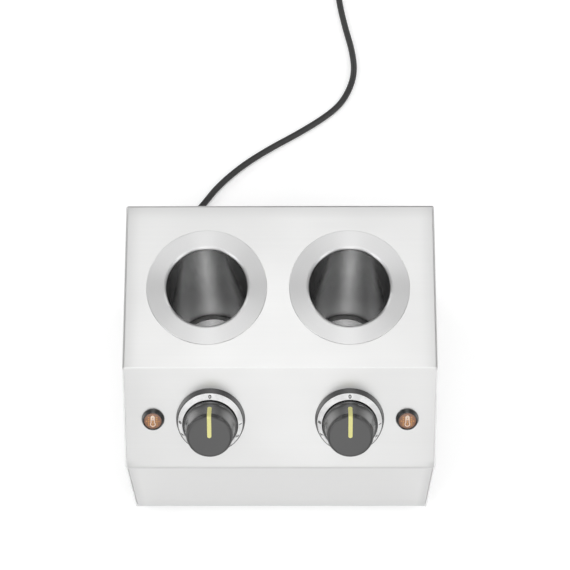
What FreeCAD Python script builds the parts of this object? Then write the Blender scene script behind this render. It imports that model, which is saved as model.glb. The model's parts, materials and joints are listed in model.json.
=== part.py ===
import FreeCAD, Part
import math
import os

# Twin topping warmer: a sheet-metal cabinet with two deep round wells and two thermostat knobs.
# Millimetres. +X is to the right of someone standing in front of the knobs, +Y is to the back and +Z is up.
# The origin lies on the table, midway between the cabinet's sides and midway from its front edge to its back wall.

V = FreeCAD.Vector

# Cabinet
WIDTH = 280.0
TOP_DEPTH = 155.0          # flat top, from the back wall to the fold
SLOPE_RUN = 72.7           # how far forward the control panel reaches
SLOPE_DROP = 67.8          # how far down it goes
BODY_HEIGHT = 210.5        # lower edge of the walls to the top
FOOT_HEIGHT = 9.0
SHEET = 1.0
BEND = 2.0                 # outside radius of the bends
LIP = 4.0                  # downturned lip under the control panel
RETURN = 12.0              # width of the flanges that the base plate is screwed to
FOLD_Y = -39.8             # centres the cabinet and its knobs' lower edges on the origin
SCREW_R = 2.0              # shanks of the sheet-metal screws and their holes
FOOT_X = 112.0
FOOT_SETBACK = 24.0        # from the front and the back wall

# Wells
WELL_SPACING = 128.2
WELLS_MIDDLE = -1.7        # the pair stands a little to the left of the cabinet's middle
WELL_BACK = 75.8           # from the fold to a well's centre
WELL_R = 36.3
WELL_DEPTH = 187.0         # from the flange's face to the floor
WELL_WALL = 1.0
WELL_FLANGE_R = 54.2
WELL_MOUTH_BEND = 3.0      # inside radius where the flange turns down
WELL_FLOOR_BEND = 3.0
WELL_HOLE_R = 39.9         # hole in the top panel

# Heater bands, by height under the top panel
BAND_THICKNESS = 3.5
BAND_LOW = -160.0
BAND_HIGH = -90.0
BAND_GAP = 24.0            # degrees left open at the front for the sensing bulb
EAR_X = 7.9                # from the gap's middle to an ear
EAR_SCREW_R = 1.6
EAR_SCREW_OUT = 5.0        # from the band's outside to its clamp screw
POST_ANGLE = -50.0         # where the band's terminal posts stand
INSULATION_GAP = 100.0
BULB_R = 3.0
CAPILLARY_R = 0.9

# Control panel: distances down the slope from the fold
CONTROL_S = 51.1
KNOB_X = 62.1
LAMP_S = 50.5
LAMP_X = 113.6
KNOB_TOP = 35.0            # height of the knob's face over the panel
KNOB_BASE = 11.8
KNOB_SKIRT_R = 24.0
KNOB_FACE_R = 20.2
POINTER_W = 3.7
POINTER_FOOT = 19.4        # its lower end on the wall, over the panel
POINTER_BACK = 0.8         # how far it runs past the knob's axis on the face
POINTER_DEPTH = 0.8
POINTER_PROUD = 0.15
SHAFT_R = 3.0
SHAFT_PLAY = 0.05
LAMP_HOLE_R = 6.2
LENS_R = 7.7
LENS_EDGE = 4.1            # height of its edge over the panel
LENS_RISE = 1.1
FIXING_SPACING = 28.0      # between a thermostat's two screws

# Power cord
CORD_D = 6.4
CORD_X = -97.5
CORD_EXIT_Z = 21.5
RELIEF_LENGTH = 30.0
GLAND_R = 6.5
GLAND_THREAD = 9.0         # inside the back wall
ARC_SHARE = 0.45           # part of the shorter run that an arc takes up at each corner
COIL_R = 42.0              # outermost turn, to the cord's centre line
COIL_GAP = 0.8             # between neighbouring turns
LAYER_QUARTERS = 10        # quarter turns in each layer of the coil
COIL_TAIL = 14.0

# Plug: an angled earthed plug that lies on its back, pins up
PLUG_R = 18.8
PLUG_H = 21.0
PLUG_PIN_R = 2.4
PLUG_PIN_SPACING = 19.0
PLUG_PIN_LENGTH = 19.0
PLUG_TAIL = 32.0
PLUG_NOTCHES = ((-1, 18.0), (1, 9.5))     # side of the rim and lowest point of its earth contact

# Wiring inside
BLOCK = (-106.0, -50.0, 78.0, 96.0)       # terminal block on the base plate: x and y ranges
BLOCK_H = 16.0
EARTH_STUD = (-40.0, 76.0)
WIRE_R = 1.1

TOP_Z = FOOT_HEIGHT + SHEET + BODY_HEIGHT
BOTTOM_Z = FOOT_HEIGHT + SHEET
BACK_Y = FOLD_Y + TOP_DEPTH
FRONT_Y = FOLD_Y - SLOPE_RUN
CORNER_Z = TOP_Z - SLOPE_DROP
SLOPE = math.atan2(SLOPE_DROP, SLOPE_RUN)
WELL_Y = FOLD_Y + WELL_BACK
POT_R = WELL_R + WELL_WALL
BAND_R = POT_R + BAND_THICKNESS
BAND_MIDDLE = (BAND_LOW + BAND_HIGH) / 2
RELIEF_END_Y = BACK_Y + RELIEF_LENGTH
CORD_R = CORD_D / 2
COIL_PITCH = CORD_D + COIL_GAP

# The cord's route over the table, from the strain relief to the coil
CORD_ROUTE = [
    (CORD_X, RELIEF_END_Y, CORD_EXIT_Z),
    (CORD_X, 167.0, CORD_EXIT_Z),
    (-90.0, 187.5, 9.5),
    (-78.4, 204.5, 3.2),
    (-64.8, 223.3, 3.2),
    (-40.5, 245.8, 3.2),
    (-13.0, 264.5, 3.2),
    (16.0, 281.2, 3.2),
    (41.0, 297.5, 3.2),
    (59.0, 312.5, 3.2),
    (69.5, 329.8, 3.2),
    (75.5, 350.5, 3.2),
    (73.5, 374.0, 3.2),
    (66.5, 401.0, 3.2),
    (60.5, 429.0, 3.2),
    (57.5, 458.0, 3.2),
    (57.5, 485.0, 3.2),
]
COIL_CENTRE = V(CORD_ROUTE[-1][0] - COIL_R, CORD_ROUTE[-1][1] + CORD_D, 0)


def face_of(points):
    """Flat face inside a closed outline of straight sides."""
    return Part.Face(Part.makePolygon(points + [points[0]]))


def box(x0, x1, y0, y1, z0, z1):
    return Part.makeBox(x1 - x0, y1 - y0, z1 - z0, V(x0, y0, z0))


def cylinder(radius, low, high, x=0.0, y=0.0):
    return Part.makeCylinder(radius, high - low, V(x, y, low), V(0, 0, 1))


def tube_ring(outer, inner, low, high):
    return cylinder(outer, low, high).cut(cylinder(inner, low - 1, high + 1))


def turned(outline, angle=360.0):
    """Solid of revolution about Z. Outline items are (r, z) points, or ("arc", (r, z), (r, z)) by mid and end."""
    here = V(outline[0][0], 0, outline[0][1])
    start = here
    edges = []
    for item in outline[1:]:
        if item[0] == "arc":
            middle = V(item[1][0], 0, item[1][1])
            end = V(item[2][0], 0, item[2][1])
            edges.append(Part.Arc(here, middle, end).toShape())
        else:
            end = V(item[0], 0, item[1])
            edges.append(Part.LineSegment(here, end).toShape())
        here = end
    edges.append(Part.LineSegment(here, start).toShape())
    face = Part.Face(Part.Wire(edges))
    return face.revolve(V(0, 0, 0), V(0, 0, 1), angle)


def arc_mid(centre_r, centre_z, radius, degrees):
    """Point on a circle in the (r, z) plane, counted from the r axis."""
    angle = math.radians(degrees)
    return (centre_r + radius * math.cos(angle), centre_z + radius * math.sin(angle))


def moved(shape, x, y, z=0.0):
    placed = shape.copy()
    placed.translate(V(x, y, z))
    return placed


def on_panel(shape, x, s=CONTROL_S):
    """Puts a shape made round Z on the control panel: local Z becomes the outward normal, local Y uphill."""
    placed = shape.copy()
    placed.rotate(V(0, 0, 0), V(1, 0, 0), math.degrees(SLOPE))
    placed.translate(V(x, FOLD_Y - s * math.cos(SLOPE), TOP_Z - s * math.sin(SLOPE)))
    return placed


def mirrored(shape):
    return shape.mirror(V(0, 0, 0), V(1, 0, 0))


def group(shapes):
    return Part.makeCompound(shapes)


# Cabinet

def side_outline(inset, bottom):
    """Side view of the cabinet, drawn in by inset on every side but the bottom."""
    fold_shift = inset * math.tan(SLOPE / 2)
    corner_shift = inset * math.tan((math.pi / 2 - SLOPE) / 2)
    return [
        (BACK_Y - inset, bottom),
        (BACK_Y - inset, TOP_Z - inset),
        (FOLD_Y + fold_shift, TOP_Z - inset),
        (FRONT_Y + inset, CORNER_Z - corner_shift),
        (FRONT_Y + inset, bottom),
    ]


def cabinet_block(inset, bottom, radius):
    """The cabinet's outline as a block, with every edge but the bottom ones rounded."""
    half = WIDTH / 2 - inset
    outline = [V(-half, y, z) for y, z in side_outline(inset, bottom)]
    block = face_of(outline).extrude(V(2 * half, 0, 0))
    upper = [edge for edge in block.Edges if edge.BoundBox.ZMax > bottom + 1]
    return block.makeFillet(radius, upper)


def cabinet_shell():
    outer = cabinet_block(0.0, BOTTOM_Z, BEND)
    inner = cabinet_block(SHEET, BOTTOM_Z - 5, BEND - SHEET)
    return outer.cut(inner)


def well_x(side):
    return WELLS_MIDDLE + side * WELL_SPACING / 2


def well_hole(side):
    return cylinder(WELL_HOLE_R, TOP_Z - 5, TOP_Z + 5, well_x(side), WELL_Y)


def control_holes():
    """Holes through the control panel for a shaft and its two screws, and for a lamp."""
    tools = []
    for side in (-1, 1):
        tools.append(on_panel(cylinder(5.2, -4, 4), side * KNOB_X))
        tools.append(on_panel(cylinder(LAMP_HOLE_R, -4, 4), side * LAMP_X, LAMP_S))
        for screw in (-1, 1):
            hole = cylinder(SCREW_R, -4, 4, screw * FIXING_SPACING / 2)
            tools.append(on_panel(hole, side * KNOB_X))
    return tools


def housing_wrap(shell):
    """Back wall, top and control panel as one folded sheet, with the lip and a flange for the base plate."""
    half = WIDTH / 2 - BEND
    between = box(-half, half, FRONT_Y - 1, BACK_Y + 1, BOTTOM_Z - 1, TOP_Z + 1)
    below_lip = box(-half - 1, half + 1, FRONT_Y - 1, FRONT_Y + 20, BOTTOM_Z - 2, CORNER_Z - LIP)
    wrap = shell.common(between).cut(below_lip)
    flange = box(-half + RETURN, half - RETURN, BACK_Y - RETURN, BACK_Y - SHEET, BOTTOM_Z, BOTTOM_Z + SHEET)
    wrap = wrap.fuse(flange)
    tools = control_holes() + [well_hole(-1), well_hole(1)]
    tools.append(Part.makeCylinder(GLAND_R, 10, V(CORD_X, BACK_Y - 5, CORD_EXIT_Z), V(0, 1, 0)))
    return wrap.cut(tools).removeSplitter()


def side_panel(shell, side):
    """Side wall with its rounded edges, the narrow returns beside the other panels, and the base flange."""
    inner = WIDTH / 2 - BEND
    region = box(inner, WIDTH, FRONT_Y - 1, BACK_Y + 1, BOTTOM_Z - 1, TOP_Z + 1)
    flange = box(WIDTH / 2 - SHEET - RETURN, WIDTH / 2 - SHEET, FRONT_Y + BEND + SHEET, BACK_Y - BEND,
                 BOTTOM_Z, BOTTOM_Z + SHEET)
    panel = shell.common(region if side > 0 else mirrored(region))
    panel = panel.fuse(flange if side > 0 else mirrored(flange))
    holes = [cylinder(SCREW_R, BOTTOM_Z - 1, BOTTOM_Z + 3, x, y) for x, y in base_screw_places() if x * side > 0]
    return panel.cut(holes).removeSplitter()


def front_panel():
    """Lower front, one sheet behind the lip and the side returns, turned in at the bottom."""
    half = WIDTH / 2 - BEND - 0.2
    face_y = FRONT_Y + SHEET
    wall = box(-half, half, face_y, face_y + SHEET, BOTTOM_Z, CORNER_Z - 2)
    flange = box(-half + RETURN, half - RETURN, face_y, face_y + RETURN, BOTTOM_Z, BOTTOM_Z + SHEET)
    return wall.fuse(flange).removeSplitter()


def base_screw_places():
    rows = (FRONT_Y + 30, (FRONT_Y + BACK_Y) / 2, BACK_Y - 30)
    return [(side * (WIDTH / 2 - SHEET - RETURN / 2), y) for side in (-1, 1) for y in rows]


def foot_places():
    return [(side * FOOT_X, y) for y in (FRONT_Y + FOOT_SETBACK, BACK_Y - FOOT_SETBACK) for side in (-1, 1)]


def vent_slot(x, y, length, width):
    """Round-ended slot through the base plate, along Y."""
    low = BOTTOM_Z - SHEET - 1
    high = BOTTOM_Z + 1
    middle = box(x - width / 2, x + width / 2, y - length / 2, y + length / 2, low, high)
    ends = [cylinder(width / 2, low, high, x, y + end * length / 2) for end in (-1, 1)]
    return middle.fuse(ends)


def base_plate():
    margin = 3.0
    half = WIDTH / 2 - margin
    plate = box(-half, half, FRONT_Y + margin, BACK_Y - margin, BOTTOM_Z - SHEET, BOTTOM_Z)
    tools = [cylinder(SCREW_R, 0, BOTTOM_Z + 1, x, y) for x, y in base_screw_places() + foot_places()]
    for side in (-1, 1):
        for column in range(4):
            tools.append(vent_slot(well_x(side) + (column - 1.5) * 14, 6.0, 46.0, 6.0))
    return plate.cut(tools)


def pan_screw(head_r, head_h, shank_r, shank_l):
    """Screw with its head below z = 0 and its shank above."""
    return turned([(0, -head_h), (head_r - 1.0, -head_h), (head_r, 0), (shank_r, 0), (shank_r, shank_l),
                   (0, shank_l)])


def foot():
    """Rubber foot, wider at the plate, hollowed for its screw's head."""
    return turned([(SCREW_R, 5), (SCREW_R, FOOT_HEIGHT), (11.5, FOOT_HEIGHT), (11.0, 6.5), (9.6, 0.8), (8.9, 0), (5.5, 0),
                   (5.0, 5)])


def foot_screw():
    screw = pan_screw(4.0, 2.4, SCREW_R, 7.0)
    nut = hexagon(7.0, 3.0).cut(cylinder(SCREW_R, -1, 4))
    return moved(screw, 0, 0, 5), moved(nut, 0, 0, BOTTOM_Z)


def hexagon_corners(radius):
    return [V(radius * math.cos(math.radians(60 * i)), radius * math.sin(math.radians(60 * i)), 0)
            for i in range(6)]


def hexagon(across_flats, height):
    return face_of(hexagon_corners(across_flats / math.sqrt(3))).extrude(V(0, 0, height))


# Wells

def well():
    """Deep-drawn pot with a flat flange, about its own axis with z = 0 on the top panel."""
    floor = WELL_WALL - WELL_DEPTH
    mouth = WELL_R + WELL_MOUTH_BEND
    turn_z = WELL_WALL - WELL_MOUTH_BEND
    floor_r = WELL_R - WELL_FLOOR_BEND
    floor_z = floor + WELL_FLOOR_BEND
    return turned([
        (0, floor),
        (floor_r, floor),
        ("arc", arc_mid(floor_r, floor_z, WELL_FLOOR_BEND, -45), (WELL_R, floor_z)),
        (WELL_R, turn_z),
        ("arc", arc_mid(mouth, turn_z, WELL_MOUTH_BEND, 135), (mouth, WELL_WALL)),
        (WELL_FLANGE_R - 0.4, WELL_WALL),
        (WELL_FLANGE_R, WELL_WALL - 0.4),
        (WELL_FLANGE_R, 0),
        (mouth, 0),
        ("arc", arc_mid(mouth, turn_z, WELL_MOUTH_BEND - WELL_WALL, 135), (WELL_R + WELL_WALL, turn_z)),
        (WELL_R + WELL_WALL, floor_z),
        ("arc", arc_mid(floor_r, floor_z, WELL_FLOOR_BEND + WELL_WALL, -45), (floor_r, floor - WELL_WALL)),
        (0, floor - WELL_WALL),
    ])


def well_clamp():
    """Ring under the top panel with a collar that grips the pot."""
    under = -SHEET
    return turned([(POT_R, under - 16), (POT_R + 1.5, under - 16), (POT_R + 1.5, under - 3.5), (52, under - 3.5),
                   (52, under), (WELL_HOLE_R, under), (WELL_HOLE_R, under - 2), (POT_R, under - 2)])


def open_ring(outer, inner, low, high, gap):
    """Ring with a gap centred on -Y."""
    ring = turned([(inner, low), (outer, low), (outer, high), (inner, high)], 360 - gap)
    ring.rotate(V(0, 0, 0), V(0, 0, 1), -90 + gap / 2)
    return ring


def heater_band():
    """Band heater round the pot, with an ear each side of its gap and two terminal posts."""
    band = open_ring(BAND_R, POT_R, BAND_LOW, BAND_HIGH, BAND_GAP)
    ear_root = -math.sqrt(POT_R ** 2 - EAR_X ** 2)
    screw_y = -BAND_R - EAR_SCREW_OUT
    ears = []
    for side in (-1, 1):
        ear = box(EAR_X, EAR_X + 2, screw_y - 4, ear_root, BAND_LOW + 5, BAND_HIGH - 5)
        ear = ear.cut(Part.makeCylinder(EAR_SCREW_R, 20, V(0, screw_y, BAND_MIDDLE), V(1, 0, 0)))
        ears.append(ear if side > 0 else mirrored(ear))
    posts = []
    for z in (BAND_MIDDLE - 15, BAND_MIDDLE + 15):
        post = Part.makeCylinder(2.0, 9, V(BAND_R - 1, 0, z), V(1, 0, 0))
        post.rotate(V(0, 0, 0), V(0, 0, 1), POST_ANGLE)
        posts.append(post)
    return band.fuse(ears + posts).removeSplitter()


def heater_screw():
    """Clamp screw through the band's two ears, with its nut."""
    end = EAR_X + 2
    y = -BAND_R - EAR_SCREW_OUT
    shank = Part.makeCylinder(EAR_SCREW_R, 2 * end, V(-end, y, BAND_MIDDLE), V(1, 0, 0))
    head = Part.makeCylinder(3.2, 2.5, V(end, y, BAND_MIDDLE), V(1, 0, 0))
    nut = Part.makeCylinder(3.2, 2.5, V(-end - 2.5, y, BAND_MIDDLE), V(1, 0, 0))
    return shank.fuse([head, nut]).removeSplitter()


def insulation():
    """Fibre sleeve over the band, open at the front."""
    return open_ring(BAND_R + 7.5, BAND_R, BAND_LOW - 12, BAND_HIGH + 12, INSULATION_GAP)


def overheat_cutout():
    """Disc cut-out under the pot, with its two tabs."""
    top = -WELL_DEPTH
    disc = cylinder(8.0, top - 9, top)
    tabs = [box(x - 3.1, x + 3.1, -0.4, 0.4, top - 17, top - 9) for x in (-5.0, 5.0)]
    return disc.fuse(tabs).removeSplitter()


# Cords, wires and capillaries

def rounded_path(points):
    """Straight runs joined by tangent arcs, and the arcs' radii."""
    corners = [V(*p) for p in points]
    edges = []
    radii = []
    here = corners[0]
    for before, corner, after in zip(corners, corners[1:], corners[2:]):
        arriving = (corner - before).normalize()
        leaving = (after - corner).normalize()
        reach = ARC_SHARE * min((corner - before).Length, (after - corner).Length)
        half_turn = arriving.getAngle(leaving) / 2
        radius = reach / math.tan(half_turn)
        inward = (leaving - arriving).normalize()
        middle = corner + inward * (radius / math.cos(half_turn) - radius)
        start = corner - arriving * reach
        end = corner + leaving * reach
        edges.append(Part.LineSegment(here, start).toShape())
        edges.append(Part.Arc(start, middle, end).toShape())
        radii.append(radius)
        here = end
    edges.append(Part.LineSegment(here, corners[-1]).toShape())
    return Part.Wire(edges), radii


def tube(path, radius, start, direction):
    """Round tube along a path."""
    profile = Part.Wire([Part.makeCircle(radius, start, direction)])
    return path.makePipeShell([profile], True, False)


def bent_wire(points, radius):
    """Six-sided wire with mitred bends, for what is closed in."""
    start = V(*points[0])
    path = Part.makePolygon([V(*p) for p in points])
    turn = FreeCAD.Rotation(V(0, 0, 1), V(*points[1]) - start)
    corners = [start + turn.multVec(corner) for corner in hexagon_corners(radius)]
    profile = Part.makePolygon(corners + [corners[0]])
    return path.makePipeShell([profile], True, False, 1)


def power_cord():
    path, radii = rounded_path(CORD_ROUTE)
    start = V(*CORD_ROUTE[0])
    cord = tube(path, CORD_R, start, V(*CORD_ROUTE[1]) - start)
    print("cord arc radii", [round(r) for r in radii])
    print("cord length %.1f" % path.Length)
    print("cord volume %.1f, section x length %.1f" % (cord.Volume, math.pi * CORD_R ** 2 * path.Length))
    return cord


def biarc(p0, t0, p1, t1):
    """Two arcs that share a tangent where they meet, from p0 along t0 to p1 along t1."""
    across = p1 - p0
    both = t0 + t1
    spread = 2 * (1 - t0.dot(t1))
    along = across.dot(both)
    reach = (math.sqrt(along ** 2 + spread * across.dot(across)) - along) / spread
    q0 = p0 + t0 * reach
    q1 = p1 - t1 * reach
    joint = (q0 + q1) * 0.5
    return [tangent_arc(p0, q0, joint), tangent_arc(joint, q1, p1)]


def tangent_arc(start, corner, end):
    """Arc from start to end whose end tangents meet at corner."""
    middle = (start + end) * 0.5
    half_chord = (end - start).Length / 2
    rise = corner - middle
    angle = math.atan2(rise.Length, half_chord)
    sagitta = half_chord * math.tan(angle / 2)
    return Part.Arc(start, middle + rise.normalize() * sagitta, end).toShape()


def coil_stations():
    """Place and direction at each quarter turn: in along the table, up one layer, and out again on top."""
    stations = []
    last = 2 * LAYER_QUARTERS
    for i in range(last + 1):
        past_middle = i - LAYER_QUARTERS
        radius = COIL_R - COIL_PITCH * (LAYER_QUARTERS - abs(past_middle)) / 4
        climbed = min(max(past_middle + 1, 0), 2) / 2
        if i in (0, last) or past_middle == 0:
            drift = 0.0
        else:
            drift = math.copysign(COIL_PITCH / (2 * math.pi), past_middle)
        lift = COIL_PITCH / 2 if past_middle == 0 else 0.0
        angle = i * math.pi / 2
        outward = V(math.cos(angle), math.sin(angle), 0)
        onward = V(-math.sin(angle), math.cos(angle), 0)
        place = COIL_CENTRE + outward * radius + V(0, 0, CORD_R + COIL_PITCH * climbed)
        direction = (outward * drift + onward * radius + V(0, 0, lift)).normalize()
        stations.append((place, direction))
    return stations


def coil_path():
    stations = coil_stations()
    first = stations[0][0]
    final = stations[-1][0]
    edges = [Part.LineSegment(first - V(0, CORD_D, 0), first).toShape()]
    for (p0, t0), (p1, t1) in zip(stations, stations[1:]):
        edges += biarc(p0, t0, p1, t1)
    edges.append(Part.LineSegment(final, final + V(0, COIL_TAIL, 0)).toShape())
    return Part.Wire(edges)


def least_self_gap(path):
    """Smallest clear distance between stretches of the tube that aren't neighbours along it."""
    points = path.discretize(Distance=2.5)
    apart = int(4 * CORD_D / 2.5)
    nearest = min(a.distanceToPoint(b) for i, a in enumerate(points) for b in points[i + apart:])
    return nearest - CORD_D


def cord_coil():
    """The put-away length: one unbroken tube in two layers."""
    path = coil_path()
    start = V(*CORD_ROUTE[-1])
    coil = tube(path, CORD_R, start, V(0, 1, 0))
    print("coil length %.1f, least gap to itself %.2f" % (path.Length, least_self_gap(path)))
    print("coil volume %.1f, section x length %.1f" % (coil.Volume, math.pi * CORD_R ** 2 * path.Length))
    return coil


def strain_relief():
    """Nylon gland with a tapered, ribbed sleeve, along +Y from the back wall."""
    thread = cylinder(GLAND_R, -SHEET - GLAND_THREAD, 0)
    flange = hexagon(17.0, 5.0)
    sleeve = turned([(0, 5), (6.6, 5), (4.3, RELIEF_LENGTH), (0, RELIEF_LENGTH)])
    grooves = []
    for i in range(3):
        z = 10.0 + 6 * i
        outer = 6.6 - (z - 5) * 2.3 / (RELIEF_LENGTH - 5)
        grooves.append(tube_ring(outer + 2, outer - 0.7, z, z + 2.2))
    piece = thread.fuse([flange, sleeve]).cut(grooves).removeSplitter()
    return to_back_wall(piece)


def gland_nut():
    nut = hexagon(17.0, 4.0).cut(cylinder(GLAND_R, -1, 5))
    return to_back_wall(moved(nut, 0, 0, -SHEET - 4))


def to_back_wall(shape):
    """Puts a shape made round Z on the cord's hole in the back wall, with Z to the back."""
    placed = shape.copy()
    placed.rotate(V(0, 0, 0), V(1, 0, 0), -90)
    placed.translate(V(CORD_X, BACK_Y, CORD_EXIT_Z))
    return placed


# Plug

def plug_centre():
    tail_start = COIL_CENTRE + V(COIL_R, COIL_TAIL, 0)
    return tail_start + V(0, PLUG_TAIL + PLUG_R - 3.0, 0)


def plug_shape():
    """Plug body round its own centre with its back on z = 0 and the tail towards -Y."""
    axis_z = CORD_R + COIL_PITCH
    body = turned([(0, 0), (15.5, 0), ("arc", arc_mid(15.5, 2.0, 2.0, -45), (17.5, 2.0)), (PLUG_R, 8.0),
                   (PLUG_R, PLUG_H - 1), (PLUG_R - 1, PLUG_H), (0, PLUG_H)])
    tail = turned([(0, 0), (4.4, 0), (7.0, PLUG_TAIL - 4), (7.0, PLUG_TAIL + 6), (0, PLUG_TAIL + 6)])
    grooves = []
    for i in range(3):
        z = 6.0 + 6 * i
        outer = 4.4 + z * 2.6 / (PLUG_TAIL - 4)
        grooves.append(tube_ring(outer + 2, outer - 0.6, z, z + 2.4))
    tail = tail.cut(grooves)
    tail.rotate(V(0, 0, 0), V(1, 0, 0), -90)
    tail.translate(V(0, -PLUG_TAIL - PLUG_R + 3.0, axis_z))
    pin_holes = [cylinder(PLUG_PIN_R, PLUG_H - 6, PLUG_H + 1, side * PLUG_PIN_SPACING / 2) for side in (-1, 1)]
    pin_holes.append(cylinder(2.6, PLUG_H - 9, PLUG_H + 1, 0, 9.5))
    notches = [box(-2.5, 2.5, side * PLUG_R - 1.6, side * PLUG_R + 1.6, low, PLUG_H + 1)
               for side, low in PLUG_NOTCHES]
    return body.fuse(tail).cut(pin_holes + notches).removeSplitter()


def plug_pins():
    """Two round pins with bevelled ends."""
    top = PLUG_H + PLUG_PIN_LENGTH
    pin = turned([(0, PLUG_H - 6), (PLUG_PIN_R, PLUG_H - 6), (PLUG_PIN_R, top - 1.2), (PLUG_PIN_R - 1.1, top),
                  (0, top)])
    return [moved(pin, side * PLUG_PIN_SPACING / 2, 0) for side in (-1, 1)]


def plug_earth_contacts():
    """Spring contacts in the rim's notches."""
    inner = PLUG_R - 1.6
    return [box(-2.5, 2.5, min(side * inner, side * (inner + 0.8)), max(side * inner, side * (inner + 0.8)), low,
                PLUG_H - 0.5) for side, low in PLUG_NOTCHES]


# Controls

def knob_outline(grow):
    """Right half of the knob's outer surface, base to face centre, grown by a small amount."""
    wall_mid = (21.75 + grow, 23.0)
    edge_r = 1.4
    edge_z = KNOB_TOP - edge_r
    return [
        (KNOB_SKIRT_R + grow, KNOB_BASE),
        (KNOB_SKIRT_R + grow, KNOB_BASE + 1.0),
        (KNOB_SKIRT_R - 0.75 + grow, KNOB_BASE + 1.8),
        ("arc", wall_mid, (KNOB_FACE_R + grow, edge_z)),
        ("arc", arc_mid(KNOB_FACE_R - edge_r, edge_z, edge_r + grow, 45), (KNOB_FACE_R - edge_r, KNOB_TOP + grow)),
        (0, KNOB_TOP + grow),
    ]


def knob_solid(grow):
    return turned(knob_outline(grow) + [(0, KNOB_BASE)])


def pointer_cutter():
    """Round-ended strip over the upper wall and the face, in the knob's own frame."""
    half = POINTER_W / 2
    face_end = half - POINTER_BACK
    wall_end = half + POINTER_FOOT
    on_face = box(-half, half, face_end, 30, KNOB_TOP - 2, KNOB_TOP + 5)
    face_round = cylinder(half, KNOB_TOP - 2, KNOB_TOP + 5, 0, face_end)
    on_wall = box(-half, half, 10, 30, wall_end, KNOB_TOP + 5)
    wall_round = Part.makeCylinder(half, 20, V(0, 10, wall_end), V(0, 1, 0))
    return on_face.fuse([face_round, on_wall, wall_round]).removeSplitter()


def knob():
    """Hollow moulded knob with a hub on the shaft and a groove for the pointer."""
    hub_r = 6.0
    hub_low = 6.5
    ceiling = KNOB_TOP - 2.5
    shaft_top = 27.0
    outline = knob_outline(0.0)
    outline += [(0, shaft_top), (SHAFT_R, shaft_top), (SHAFT_R, hub_low), (hub_r, hub_low), (hub_r, ceiling),
                (KNOB_FACE_R - 2.2, ceiling), (KNOB_SKIRT_R - 2.2, KNOB_BASE + 2), (KNOB_SKIRT_R - 2.2, KNOB_BASE)]
    body = turned(outline)
    groove = pointer_cutter().cut(knob_solid(-POINTER_DEPTH))
    return body.cut(groove).removeSplitter()


def pointer():
    skin = knob_solid(POINTER_PROUD).cut(knob_solid(-POINTER_DEPTH))
    return pointer_cutter().common(skin).removeSplitter()


def shaft():
    """Steel shaft with a flat on its upper end."""
    rod = cylinder(SHAFT_R, -12.0, 27.0)
    flat = box(-5, 5, 1.6, 5, 15.0, 28.0)
    return rod.cut(flat)


def thermostat():
    """Capillary thermostat behind the panel: bracket, bush, body, tabs and the capillary's boss."""
    back = -SHEET
    bracket = box(-21, 21, -14, 14, back - 1.5, back)
    bush = cylinder(5.0, back, 4.0)
    body = box(-19, 19, -17, 17, -28, back - 1.5)
    upright = [edge for edge in body.Edges if abs(edge.tangentAt(edge.FirstParameter).z) > 0.9]
    body = body.makeChamfer(3.0, upright)
    tabs = [box(x - 3.1, x + 3.1, y - 0.4, y + 0.4, -36, -28) for x in (-11, 11) for y in (-9, 9)]
    boss = cylinder(3.0, -33, -28)
    piece = bracket.fuse([bush, body, boss] + tabs)
    holes = [cylinder(SHAFT_R + SHAFT_PLAY, -12.5, 5)]
    holes += [cylinder(SCREW_R, -8, 2, side * FIXING_SPACING / 2) for side in (-1, 1)]
    return piece.cut(holes).removeSplitter()


def thermostat_screw():
    screw = pan_screw(3.6, 2.3, SCREW_R, 8.0)
    screw.rotate(V(0, 0, 0), V(1, 0, 0), 180)
    return screw


def knob_bezel():
    """Black ring on the panel that the dial ring sits in."""
    return turned([(20, 0), (31.0, 0), (30.9, 1.0), (29.6, 5.9), (29.3, 6.2), (28.9, 6.2), (28.9, 3.0), (20, 3.0)])


def dial_ring():
    """Bright conical ring that carries the numbers."""
    return turned([(27.9, 3.0), (28.9, 3.0), (28.9, 6.3), (24.9, 11.4), (24.9, 9.7), (27.9, 5.8)])


def lamp_bezel():
    """Black lamp body's front: a low cone with a threaded sleeve through the panel."""
    rim_z = LENS_EDGE + 1.0
    return turned([(6.0, -12), (6.0, 0), (10.25, 0), (10.25, 0.9), (9.0, rim_z - 0.4), (8.4, rim_z),
                   (LENS_R, rim_z - 0.5), (LENS_R, 1.0), (5.0, 1.0), (5.0, -12)])


def lamp_lens():
    """Amber lens, domed as part of a ball whose centre lies on the lamp's axis."""
    top = LENS_EDGE + LENS_RISE
    ball_r = (LENS_R ** 2 + LENS_RISE ** 2) / (2 * LENS_RISE)
    half_angle = math.degrees(math.asin(LENS_R / ball_r)) / 2
    middle = arc_mid(0, top - ball_r, ball_r, 90 - half_angle)
    return turned([(0, 1.0), (LENS_R, 1.0), (LENS_R, LENS_EDGE), ("arc", middle, (0, top))])


def lamp_body():
    """Neon lamp's body behind the lens, with its tabs."""
    front = cylinder(5.0, -12, 1.0)
    rear = cylinder(6.5, -26, -12)
    tabs = [box(x - 0.4, x + 0.4, -2.4, 2.4, -33, -26) for x in (-3.0, 3.0)]
    return front.fuse([rear] + tabs).removeSplitter()


def lamp_nut():
    nut = hexagon(15.0, 4.0).cut(cylinder(6.0, -1, 5))
    return moved(nut, 0, 0, -SHEET - 4)


# Wiring inside

def terminal_block():
    x0, x1, y0, y1 = BLOCK
    body = box(x0, x1, y0, y1, BOTTOM_Z, BOTTOM_Z + BLOCK_H)
    towers = [box(x0 + 3 + 11 * i, x0 + 9 + 11 * i, y0 + 4, y1 - 4, BOTTOM_Z + BLOCK_H, BOTTOM_Z + BLOCK_H + 6)
              for i in range(5)]
    return body.fuse(towers).removeSplitter()


def earth_stud():
    x, y = EARTH_STUD
    stud = cylinder(2.5, BOTTOM_Z, BOTTOM_Z + 14, x, y)
    nut = moved(hexagon(8.0, 4.0), x, y, BOTTOM_Z + 5)
    return stud.fuse(nut).removeSplitter()


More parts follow.
